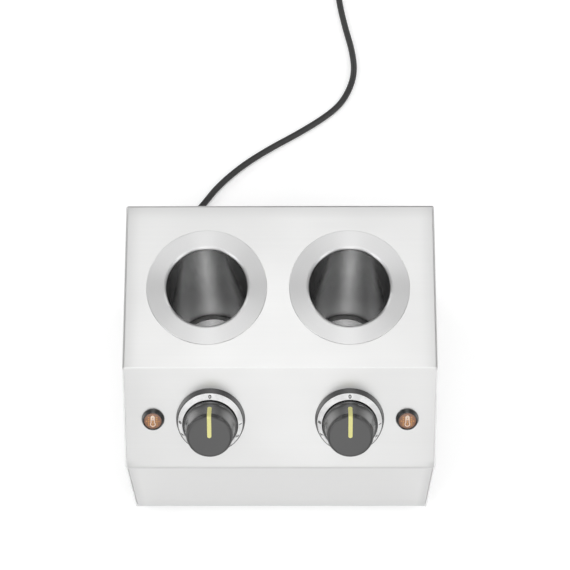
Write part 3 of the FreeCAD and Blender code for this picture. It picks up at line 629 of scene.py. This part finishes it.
BEZEL_OUTLINE = [(20, 0), (31.0, 0, 0.2), (29.7, 5.9, 0.5), (29.3, 6.2, 0.15), (28.9, 6.2), (28.9, 3.0), (20, 3.0)]
DIAL_OUTLINE = [(27.9, 3.0), (28.9, 3.0), (28.9, 6.3, 0.15), (24.9, 11.4, 0.1), (24.9, 9.7), (27.9, 5.8)]
dial_finish = {}
for name, side in SIDES:
    place = on_panel(side * KNOB_X)
    settle(lathe("bezel_" + name, BEZEL_OUTLINE, place, bezel_plastic), "cabinet", "bezel_plastic",
           "knob_bezel_" + name)
    dial_finish[name] = dial_metal("dial_metal_" + name, place)
    settle(lathe("dial_" + name, DIAL_OUTLINE, place, dial_finish[name]), "cabinet", "dial_silver",
           "dial_ring_" + name)

# %% [markdown]
# ## Numbers on the dial
# The numbers follow a rule: 0 is at the top, 1 is a quarter turn on, and 2 to 8 follow at equal steps, each with its
# foot towards the knob. A Geometry Nodes tree does this from one string. Every character comes as an instance, its
# number in the string gives its angle, and one matrix centres it, leans it on the cone and turns it round the dial.
# Printed figures are bolder than the font's, so a thin round line also follows each outline.

# %% Number tree
def number_tree(ink):
    g = start_tree("dial_numbers", {
        "Size": 0.0052, "Radius": 0.0269, "Height": 0.0089, "Lean": 0.9, "First Angle": 1.571, "Step": 0.457,
        "Thickness": 0.00008, "Boldness": 0.00018})
    given = g.node("NodeGroupInput", output="Size")
    text = g.node("GeometryNodeStringToCurves", {"pivot_mode": "MIDPOINT"}, {"String": "012345678", "Size": given},
                  "Curve Instances")
    filled = g.node("GeometryNodeFillCurve", {}, {"Curve": text})
    solid = g.node("GeometryNodeExtrudeMesh", {}, {"Mesh": filled, "Offset Scale": given.out("Thickness"),
                                                   "Individual": False})
    stroke = g.node("GeometryNodeCurvePrimitiveCircle", {}, {"Resolution": 6, "Radius": given.out("Boldness")})
    edge = g.node("GeometryNodeCurveToMesh", {}, {"Curve": text, "Profile Curve": stroke})
    index = g.node("GeometryNodeInputIndex")
    past_zero = index.function("GREATER_THAN", 0.5)
    angle = past_zero * (given.out("First Angle") + (index - 1.0) * given.out("Step"))
    pivot = g.node("ShaderNodeVectorMath", {"operation": "SCALE"}, {0: text.out("Pivot Point"), "Scale": -1.0})
    centred = g.node("FunctionNodeCombineTransform", {}, {"Translation": pivot})
    across = g.node("ShaderNodeCombineXYZ", {}, {"Y": given.out("Radius"), "Z": given.out("Height")})
    lean = g.node("ShaderNodeCombineXYZ", {}, {"X": 0.0 - given.out("Lean")})
    on_cone = g.node("FunctionNodeCombineTransform", {}, {
        "Translation": across, "Rotation": g.node("FunctionNodeEulerToRotation", {}, {"Euler": lean})})
    around = g.node("ShaderNodeCombineXYZ", {}, {"Z": 0.0 - angle})
    turned = g.node("FunctionNodeCombineTransform", {}, {
        "Rotation": g.node("FunctionNodeEulerToRotation", {}, {"Euler": around})})
    both = g.node("FunctionNodeMatrixMultiply", {}, {0: on_cone, 1: centred})
    placed = g.node("FunctionNodeMatrixMultiply", {}, {0: turned, 1: both})
    stood = [g.node("GeometryNodeSetInstanceTransform", {}, {"Instances": part, "Transform": placed})
             for part in (solid, edge)]
    joined = g.node("GeometryNodeJoinGeometry", {}, {"Geometry": stood[0]})
    g.tree.links.new(stood[1].socket, joined.socket.node.inputs[0])
    return end_tree(g, joined, ink)


def keep_mesh(source, name, place):
    """Keeps what an object draws as a piece with a plain mesh, put in place, and removes the object."""
    graph = bpy.context.evaluated_depsgraph_get()
    mesh = bpy.data.meshes.new_from_object(source.evaluated_get(graph), depsgraph=graph)
    bpy.data.objects.remove(source)
    mesh.name = name
    mesh.transform(place)
    return add_object(name, mesh)


def grow(tree, name, place):
    """Runs a Geometry Nodes tree once and keeps the result."""
    seed = add_object(name + "_seed", bpy.data.meshes.new(name + "_seed"))
    seed.modifiers.new("grow", "NODES").node_group = tree
    return keep_mesh(seed, name, place)


# %% Numbers
dial_ink = moulded("dial_ink", grey(0.04), grey(0.06), 0.5, 0.0004, 0.00001)
numbers = number_tree(dial_ink)
for name, side in SIDES:
    settle(grow(numbers, "dial_numbers_" + name, on_panel(side * KNOB_X)), "cabinet", "dial_silver")

# %% [markdown]
# ## Knobs
# The knob is a moulded cap: a skirt with a rolled edge, a wall that draws in, a fine groove, and a flat face with a
# soft edge. It is nearly black thermoset, and most of the grey that is seen is the room in its surface. The mould is
# polished on the wall, which mirrors the bright dial ring at a low angle, and is duller on the face. So a clear coat
# is weighed by the height above the panel: the point is turned into the panel's own axes, and its Z is the height.
# The pointer is a pale yellow strip let into the face and the wall, built as a small grid that follows the outline.

# %% Knob plastic
WALL_TOP = (0.0319, 0.0326)


def knob_finish():
    f = Finish("knob_plastic")
    foot = tuple(on_panel(0).to_translation())
    _, _, height = f.axes(centre=foot, turn=(-SLOPE, 0, 0))
    wall = 1.0 - height.between(*WALL_TOP)
    cloud = f.noise(f.place(), CLOUDS, 3.0)
    fine = f.noise(f.place(), 2200.0, 2.0)
    return f.surface(Base_Color=f.blend(cloud, grey(0.034), grey(0.044)), Roughness=cloud * 0.1 + (0.20 - wall * 0.06),
                     IOR=1.62, Normal=f.bump(fine, 0.000015), Coat_Weight=wall * 0.5, Coat_Roughness=COAT_BLUR)


knob_plastic = knob_finish()
pointer_yellow = moulded("pointer_yellow", (0.66, 0.635, 0.23, 1), (0.73, 0.70, 0.295, 1), 0.45, 0.0005, 0.00002)

# %% Knobs
KNOB_TOP = 35.0
FACE_R = 20.2
EDGE_R = 2.2
WALL = [(22.75, 14.6), (22.0, 19.0), (21.4, 24.0), (20.9, 29.0), (20.6, 31.6)]
KNOB_OUTLINE = [
    (0, 27.0), (3.0, 27.0), (3.0, 6.5), (6.0, 6.5), (6.0, 32.0), (18.0, 32.0), (21.8, 13.8), (21.8, 11.8),
    (24.0, 11.8, 0.3), (24.0, 13.4, 0.7), (23.1, 14.0, 0.2), *WALL, (20.4, 32.0, 0.3), (19.2, 32.2, 0.1),
    (19.2, 32.6, 0.1), (FACE_R, 32.7, 0.1), (FACE_R, KNOB_TOP, EDGE_R), (0, KNOB_TOP),
]
for name, side in SIDES:
    knob = lathe("knob_cap_" + name, KNOB_OUTLINE, on_panel(side * KNOB_X), knob_plastic, 192)
    settle(knob, "knob_turner_" + name, "knob_plastic", "knob_" + name)
print("knobs", len(knob.data.vertices), "vertices each")

# %% Pointers
POINTER_HALF = 1.85
POINTER_PROUD = 0.18
POINTER_CROWN = 0.08
POINTER_DEPTH = 0.5
POINTER_START = -0.8    # past the knob's axis
WALL_START = 32.2
WALL_FOOT = 19.4
WALL_OUT = (0.993, 0.118)
COLUMNS = 9


def pointer_path():
    """(y, z, outward y, outward z) along the knob's outside, from the face's middle to the wall."""
    path = [(y, KNOB_TOP, 0.0, 1.0) for y in np.linspace(POINTER_START, FACE_R - EDGE_R, 40)]
    for angle in np.linspace(math.pi / 2, 0.06, 9)[1:]:
        path.append((FACE_R - EDGE_R + EDGE_R * math.cos(angle), KNOB_TOP - EDGE_R + EDGE_R * math.sin(angle),
                     math.cos(angle), math.sin(angle)))
    heights = [z for _, z in WALL] + [33.0]
    radii = [r for r, _ in WALL] + [FACE_R + 0.15]
    for z in np.linspace(WALL_START, WALL_FOOT, 36):
        path.append((float(np.interp(z, heights, radii)), float(z), *WALL_OUT))
    return path


def pointer_mesh(name, place):
    path = pointer_path()
    spots = np.array([p[:2] for p in path])
    along = np.concatenate([[0], np.cumsum(np.linalg.norm(np.diff(spots, axis=0), axis=1))])
    verts = []
    faces = []
    for lift, crown in ((POINTER_PROUD, POINTER_CROWN), (-POINTER_DEPTH, 0.0)):
        for (y, z, out_y, out_z), distance in zip(path, along):
            end = min(distance, along[-1] - distance)
            inset = max(POINTER_HALF - end, 0.0)
            half = math.sqrt(max(POINTER_HALF ** 2 - inset ** 2, 0.0001))
            for c in range(COLUMNS):
                x = half * (2 * c / (COLUMNS - 1) - 1)
                rise = lift + crown * (1 - (x / POINTER_HALF) ** 2)
                curve = (y - math.sqrt(y * y - x * x)) if y > 10 else 0.0
                verts.append((x, y + out_y * rise - curve, z + out_z * rise))
    rows = len(path)
    size = rows * COLUMNS
    for r in range(rows - 1):
        for c in range(COLUMNS - 1):
            corner = r * COLUMNS + c
            faces.append((corner, corner + 1, corner + COLUMNS + 1, corner + COLUMNS))
            faces.append((size + corner, size + corner + COLUMNS, size + corner + COLUMNS + 1, size + corner + 1))
    rim = list(range(COLUMNS)) + [r * COLUMNS + COLUMNS - 1 for r in range(1, rows)]
    rim += [size - 1 - c for c in range(1, COLUMNS)] + [r * COLUMNS for r in range(rows - 2, 0, -1)]
    for a, b in zip(rim, rim[1:] + rim[:1]):
        faces.append((a, b, b + size, a + size))
    return make_piece(name, verts, faces, place, pointer_yellow)


for name, side in SIDES:
    strip = pointer_mesh("pointer_strip_" + name, on_panel(side * KNOB_X))
    settle(strip, "knob_turner_" + name, "pointer_yellow", "pointer_" + name)

# %% [markdown]
# ## Lamps
# Each lamp has a glossy black rim and an amber lens. The lens is moulded with a field of tiny pyramids that spread the
# light, and shows the outline of a thermometer. The pyramids are painted a lighter amber than the lens, a painted
# highlight for their bright dots. The pyramids repeat on a square grid, so a Geometry Nodes tree sets one on every grid
# point inside the lens, each lifted on to the dome.

# %% Lamp rims and lenses
LENS_R = 7.7
LENS_EDGE = 4.1
LENS_RISE = 1.1
BALL_R = (LENS_R ** 2 + LENS_RISE ** 2) / (2 * LENS_RISE)
rim_plastic = moulded("rim_plastic", grey(0.010), grey(0.016), 0.22, 0.0008, 0.00001, coat=0.6)


def amber(name, dark, light, roughness):
    f = Finish(name)
    cloud = f.noise(f.place(), 700.0, 2.0)
    colour = f.blend(cloud, dark, light)
    return f.surface(Base_Color=colour, Roughness=cloud * 0.1 + roughness, Coat_Weight=0.35, Coat_Roughness=0.15,
                     Subsurface_Weight=0.15, Subsurface_Radius=(0.002, 0.001, 0.0005), Subsurface_Scale=0.5)


lens_rim = amber("lens_rim", (0.26, 0.13, 0.08, 1), (0.33, 0.17, 0.11, 1), 0.3)
# The prisms are a lighter amber than the lens round them: a painted highlight for the bright dots where light catches
# them.
lens_prism = amber("lens_prism", (0.52, 0.235, 0.06, 1), (0.68, 0.33, 0.105, 1), 0.3)
mark_white = moulded("mark_white", (0.86, 0.70, 0.60, 1), (0.92, 0.78, 0.68, 1), 0.4, 0.0004, 0.00001)


def dome(x, y):
    """Height of the lens at a point."""
    return LENS_EDGE + LENS_RISE - BALL_R + math.sqrt(BALL_R ** 2 - x * x - y * y)


RIM_OUTLINE = [(6.0, -12), (6.0, 0), (10.25, 0), (10.25, 0.9, 0.25), (9.0, 4.7, 0.5), (8.4, 5.1, 0.25),
               (LENS_R, 4.6, 0.1), (LENS_R, 1.0), (5.0, 1.0), (5.0, -12)]
LENS_OUTLINE = [(0, 1.0), (LENS_R, 1.0), (LENS_R, LENS_EDGE)]
LENS_OUTLINE += [(r, dome(r, 0)) for r in (7.2, 6.5, 5.7, 4.8, 3.8, 2.7, 1.5)] + [(0, LENS_EDGE + LENS_RISE)]


def prism_tree(material):
    g = start_tree("lens_prisms", {
        "Field Radius": 0.0055, "Pitch": 0.0018, "Prism Height": 0.0003, "Ball Radius": BALL_R * MM,
        "Top": (LENS_EDGE + LENS_RISE) * MM})
    given = g.node("NodeGroupInput", output="Pitch")
    field = given.out("Field Radius")
    count = (field * 2.0 / given).function("ROUND")
    size = count * given
    grid = g.node("GeometryNodeMeshGrid", {}, {"Size X": size, "Size Y": size, "Vertices X": count + 1.0,
                                               "Vertices Y": count + 1.0}, "Mesh")
    at = g.node("ShaderNodeSeparateXYZ", {}, {"Vector": g.node("GeometryNodeInputPosition")}, "X")
    square = at * at + at.out("Y") * at.out("Y")
    inside = g.node("GeometryNodeDeleteGeometry", {"domain": "POINT"}, {
        "Geometry": grid, "Selection": square.function("GREATER_THAN", field * field)})
    ball = given.out("Ball Radius")
    height = (ball * ball - square).function("SQRT") - ball + given.out("Top")
    lifted = g.node("GeometryNodeSetPosition", {}, {
        "Geometry": inside, "Offset": g.node("ShaderNodeCombineXYZ", {}, {"Z": height})})
    prism = g.node("GeometryNodeMeshCone", {"fill_type": "NGON"}, {
        "Vertices": 4, "Radius Top": 0.0, "Radius Bottom": given * 0.55, "Depth": given.out("Prism Height")}, "Mesh")
    flat = g.node("GeometryNodeSetShadeSmooth", {}, {"Geometry": prism, "Shade Smooth": False})
    quarter = g.node("FunctionNodeEulerToRotation", {}, {"Euler": (0, 0, math.pi / 4)})
    stood = g.node("GeometryNodeInstanceOnPoints", {}, {"Points": lifted, "Instance": flat, "Rotation": quarter})
    return end_tree(g, stood, material)


prisms = prism_tree(lens_prism)
for name, side in SIDES:
    place = on_panel(side * LAMP_X, LAMP_S)
    settle(lathe("lamp_rim_" + name, RIM_OUTLINE, place, rim_plastic, 96), "cabinet", "bezel_plastic",
           "lamp_bezel_" + name)
    settle(lathe("lens_" + name, LENS_OUTLINE, place, lens_rim, 96), "cabinet", "lens_amber", "lamp_lens_" + name)
    settle(grow(prisms, "lens_prisms_" + name, place), "cabinet", "lens_amber")

# %% Thermometer mark
MARK_WIDTH = 0.8
CAP_WIDTH = 0.9
MARK_LIFT = 0.12
TUBE_HALF = 1.5
TUBE_TOP = 3.7
BULB_Y = -2.8
BULB_R = 2.15


def thermometer():
    """Points round the outline of a thermometer, bulb down."""
    open_angle = math.asin(TUBE_HALF / BULB_R)
    start = math.pi / 2 + open_angle
    bulb = [(BULB_R * math.cos(a), BULB_Y + BULB_R * math.sin(a))
            for a in np.linspace(start, start + 2 * (math.pi - open_angle), 24)]
    top = [(TUBE_HALF * math.cos(a), TUBE_TOP + TUBE_HALF * math.sin(a)) for a in np.linspace(0, math.pi, 12)]
    return bulb + top


def mark(name, place, outline, width):
    """A raised line on the lens along an outline."""
    curve = bpy.data.curves.new(name + "_line", "CURVE")
    curve.dimensions = "3D"
    line = curve.splines.new("POLY")
    line.points.add(len(outline) - 1)
    for point, (x, y) in zip(line.points, outline):
        point.co = (x * MM, y * MM, (dome(x, y) + MARK_LIFT) * MM, 1)
    line.use_cyclic_u = True
    curve.bevel_depth = width / 2 * MM
    curve.bevel_resolution = 2
    piece = keep_mesh(add_object(name + "_line", curve), name, place)
    piece.data.shade_smooth()
    piece.data.materials.clear()
    piece.data.materials.append(mark_white)
    return piece


CAP = [(0.65, 1.6), (0.65, 3.9), (0.3, 4.3), (-0.3, 4.3), (-0.65, 3.9), (-0.65, 1.6)]
for name, side in SIDES:
    place = on_panel(side * LAMP_X, LAMP_S)
    settle(mark("thermometer_" + name, place, thermometer(), MARK_WIDTH), "cabinet", "lens_amber")
    settle(mark("thermometer_cap_" + name, place, CAP, CAP_WIDTH), "cabinet", "lens_amber")

# %% [markdown]
# ## Strain relief and plug
# Where the cord leaves the back wall, a nylon gland grips it, and a tapered sleeve with ribs keeps it from bending
# sharply. The ribs repeat along a taper, so a tree places rings on a line and scales each by its distance. The plug is
# the CAD solid, which already has its shape, in the same moulded black.

# %% Ribbed sleeve
CORD_X = -97.5
BACK_Y = 115.2
CORD_EXIT_Z = 21.5
SLEEVE = [(0, -10), (6.5, -10), (6.5, 0), (8.4, 0, 0.5), (8.4, 5, 0.8), (6.6, 5.0, 0.2), (4.3, 29.6, 0.5), (3.3, 30),
          (0, 30)]


def rib_tree(material):
    g = start_tree("sleeve_ribs", {
        "First": 0.009, "Pitch": 0.0042, "First Radius": 0.0063, "Taper": 0.092, "Rib Radius": 0.0007, "Count": 5})
    given = g.node("NodeGroupInput", output="First")
    step = g.node("ShaderNodeCombineXYZ", {}, {"Z": given.out("Pitch")})
    start = g.node("ShaderNodeCombineXYZ", {}, {"Z": given})
    line = g.node("GeometryNodeMeshLine", {}, {"Count": given.out("Count"), "Start Location": start, "Offset": step})
    circle = g.node("GeometryNodeCurvePrimitiveCircle", {}, {"Resolution": 48, "Radius": given.out("First Radius")})
    section = g.node("GeometryNodeCurvePrimitiveCircle", {}, {"Resolution": 10, "Radius": given.out("Rib Radius")})
    ring = g.node("GeometryNodeCurveToMesh", {}, {"Curve": circle, "Profile Curve": section})
    index = g.node("GeometryNodeInputIndex")
    shrink = 1.0 - index * given.out("Pitch") * given.out("Taper") / given.out("First Radius")
    scale = g.node("ShaderNodeCombineXYZ", {}, {"X": shrink, "Y": shrink, "Z": 1.0})
    stood = g.node("GeometryNodeInstanceOnPoints", {}, {"Points": line, "Instance": ring, "Scale": scale})
    return end_tree(g, stood, material)


ribs = rib_tree(plug_plastic)
to_back = Matrix.Translation(Vector((CORD_X, BACK_Y, CORD_EXIT_Z)) * MM) @ Matrix.Rotation(-math.pi / 2, 4, "X")
sleeve = lathe("sleeve", SLEEVE, to_back, plug_plastic, 48)
settle(sleeve, "cabinet", "plug_plastic", "cord_strain_relief")
sleeve_ribs = grow(ribs, "sleeve_ribs", to_back)
settle(sleeve_ribs, "cabinet", "plug_plastic")

# %% [markdown]
# ## The frame's own pieces
# The sheets, feet, screws and plug keep their CAD shapes and get finishes. Inside the cabinet the heaters, insulation,
# thermostats and wiring are hidden at rest, but a viewer may look in through the vents, so they get finishes too.

# %% Finishes for the frame's nodes
def plain_metal(name, dark, light, roughness, size):
    f = Finish(name)
    cloud = f.noise(f.place(), size, 3.0)
    return f.surface(Base_Color=f.blend(cloud, dark, light), Metallic=1.0, Roughness=cloud * 0.15 + roughness,
                     Normal=f.bump(cloud, 0.00002, 0.3))


finishes = {
    "cabinet_steel": wrap_steel,
    "well_steel": zinc_steel,
    "zinc_steel": zinc_steel,
    "foot_rubber": foot_rubber,
    "cord_rubber": cord_rubber,
    "plug_plastic": plug_plastic,
    "knob_plastic": knob_plastic,
    "bezel_plastic": bezel_plastic,
    "pointer_yellow": pointer_yellow,
    "lens_amber": lens_rim,
    "dial_silver": dial_finish["left"],
    "nickel_brass": plain_metal("nickel_brass", (0.62, 0.60, 0.54, 1), (0.74, 0.72, 0.66, 1), 0.2, 200.0),
    "heater_metal": plain_metal("heater_metal", (0.42, 0.40, 0.38, 1), (0.58, 0.57, 0.55, 1), 0.4, 60.0),
    "fibre": moulded("fibre", grey(0.72), grey(0.84), 0.9, 0.002, 0.0006),
    "thermostat_body": moulded("thermostat_body", (0.62, 0.60, 0.54, 1), (0.72, 0.70, 0.64, 1), 0.5, 0.001, 0.00005),
    "copper_bulb": plain_metal("copper_bulb", (0.62, 0.36, 0.22, 1), (0.74, 0.48, 0.32, 1), 0.3, 120.0),
    "inner_plastic": moulded("inner_plastic", (0.66, 0.65, 0.60, 1), (0.74, 0.73, 0.69, 1), 0.45, 0.001, 0.00003),
    "wire_silicone": moulded("wire_silicone", (0.50, 0.20, 0.13, 1), (0.60, 0.27, 0.18, 1), 0.5, 0.001, 0.00003),
}
for part in frame["record"]["subparts"]:
    finish = finishes[part["material_slot"]]
    if part["node"].startswith("side_panel"):
        finish = side_steel
    nodes[part["node"]].material_slots[0].material = finish
print(len(finishes), "finishes on", len(nodes), "nodes")

# %% [markdown]
# ## Stage
# A plain pale floor and soft light, as in a product studio. Bright metal shows the room and not itself, so the room
# does most of the work. The world is a white room, and each direction in it is dimmed by what stands there: dark
# screens at both sides and behind, a lower ceiling ahead, and a low dark skyline in front. The screens draw the fans
# on the flanges and the dark sides of the wells. Two bright windows, ahead to the left and right, put the light
# crescents on the wells' lips. The ray's direction is the only input, so a share of 0 to 1 is worked out for each
# screen and they are multiplied.
#
# One large lamp in front of and above the cabinet gives the soft shadows behind the knobs. A narrow upright strip
# lights the middle of the slanted panel, and a small lamp behind lights the fore part of the top. To the camera the
# floor is lifted a little towards white, so that the picture's ground is white and the shadow on it still shows. To
# the metal it glows a little, as a floor does under studio lamps, and this lights the front.

# %% World
ROOM = 2.46
SIDE_DIM = 0.93
FLANK_LIFT = 0.2
BACK_DIM = 0.82
FRONT_DIM = 0.08
CEILING_DIM = 0.28
SKYLINE_DIM = 0.9
WINDOW = 1.9

# Where each screen or window fades in and out, as a part of the ray's unit length
SIDE_RISE = 3.0
FLANK_ASIDE = (0.45, 0.85)
BACK_BEHIND = (0.3, 0.75)
FRONT_AHEAD = (0.3, 1.0)
CEILING_AHEAD = (0.05, 0.25, 0.65, 0.88)
SKYLINE_UP, SKYLINE_AHEAD = (-0.25, 0.0, 0.06, 0.3), (0.3, 0.8)
WINDOW_ASIDE, WINDOW_AHEAD, WINDOW_UP = (0.30, 0.48, 0.75, 0.95), (0.15, 0.25, 0.65, 0.75), (0.0, 0.1)

world = bpy.data.worlds.new("studio")
world.use_nodes = True
bpy.context.scene.world = world
w = Graph(world.node_tree)
ray = w.node("ShaderNodeTexCoord", output="Generated")
toward = w.node("ShaderNodeSeparateXYZ", {}, {"Vector": ray}, "X")
aside = toward.function("ABSOLUTE")
back = toward.out("Y")
front = 0.0 - back
up = toward.out("Z")
flank = aside.between(*FLANK_ASIDE)
sides = (aside * SIDE_RISE).function("MINIMUM", 1.0) * (1.0 - flank * FLANK_LIFT)
skyline = up.band(*SKYLINE_UP) * front.between(*SKYLINE_AHEAD)
window = aside.band(*WINDOW_ASIDE) * front.band(*WINDOW_AHEAD) * up.between(*WINDOW_UP)
room = 1.0 - sides * SIDE_DIM
for share, dim in ((back.between(*BACK_BEHIND), BACK_DIM), (front.between(*FRONT_AHEAD), FRONT_DIM),
                   (front.band(*CEILING_AHEAD), CEILING_DIM), (skyline, SKYLINE_DIM)):
    room = room * (1.0 - share * dim)
room = room * ROOM + window * WINDOW
seen = w.node("ShaderNodeLightPath", output="Is Camera Ray")
background = w.node("ShaderNodeBackground", {}, {"Color": grey(1.0), "Strength": seen + (1.0 - seen) * room})
w.node("ShaderNodeOutputWorld", {}, {"Surface": background})

# %% Floor
FLOOR_HALF = 4.0
FLOOR_Z = -0.0002
FLOOR_LIFT = 0.31
FLOOR_GLOW = 0.27
floor_finish = Finish("floor_white")
paper = floor_finish.noise(floor_finish.place(), 30.0, 2.0)
lit = floor_finish.node("ShaderNodeBsdfDiffuse", {}, {"Color": floor_finish.blend(paper, grey(0.80), grey(0.82))})
camera_ray = floor_finish.node("ShaderNodeLightPath", output="Is Camera Ray")
strength = camera_ray * FLOOR_LIFT + camera_ray.out("Is Glossy Ray") * FLOOR_GLOW
glow = floor_finish.node("ShaderNodeEmission", {}, {"Color": grey(1.0), "Strength": strength})
both = floor_finish.node("ShaderNodeAddShader", {}, {0: lit, 1: glow})
floor_finish.node("ShaderNodeOutputMaterial", {}, {"Surface": both})
floor_mesh = bpy.data.meshes.new("floor")
corners = [(x * FLOOR_HALF, y * FLOOR_HALF, FLOOR_Z) for x, y in ((-1, -1), (1, -1), (1, 1), (-1, 1))]
floor_mesh.from_pydata(corners, [], [(0, 1, 2, 3)])
floor_mesh.materials.append(floor_finish.material)
floor = add_object("floor", floor_mesh)

# %% Lamps of the studio
def softbox(name, place, target, size, power):
    data = bpy.data.lights.new(name, "AREA")
    data.shape = "RECTANGLE"
    data.size, data.size_y = size
    data.energy = power
    lamp = add_object(name, data)
    lamp.location = place
    lamp.rotation_euler = (Vector(target) - Vector(place)).to_track_quat("-Z", "Y").to_euler()


softbox("front_box", (-0.25, -0.95, 1.85), target=(0, 0, 0.15), size=(3.2, 2.0), power=7.2)
softbox("front_strip", (0.006, -0.62, 0.44), target=(0, -0.076, 0.187), size=(0.03, 0.5), power=0.046)
softbox("top_glow", (0.02, 0.2, 1.0), target=(0, 0, 0.22), size=(0.22, 0.2), power=0.07)
for side in (-1, 1):
    softbox("back_box", (side * 1.3, 1.3, 1.1), target=(0, 0.25, 0), size=(0.7, 0.7), power=6.0)
bpy.context.scene.view_settings.view_transform = "Standard"
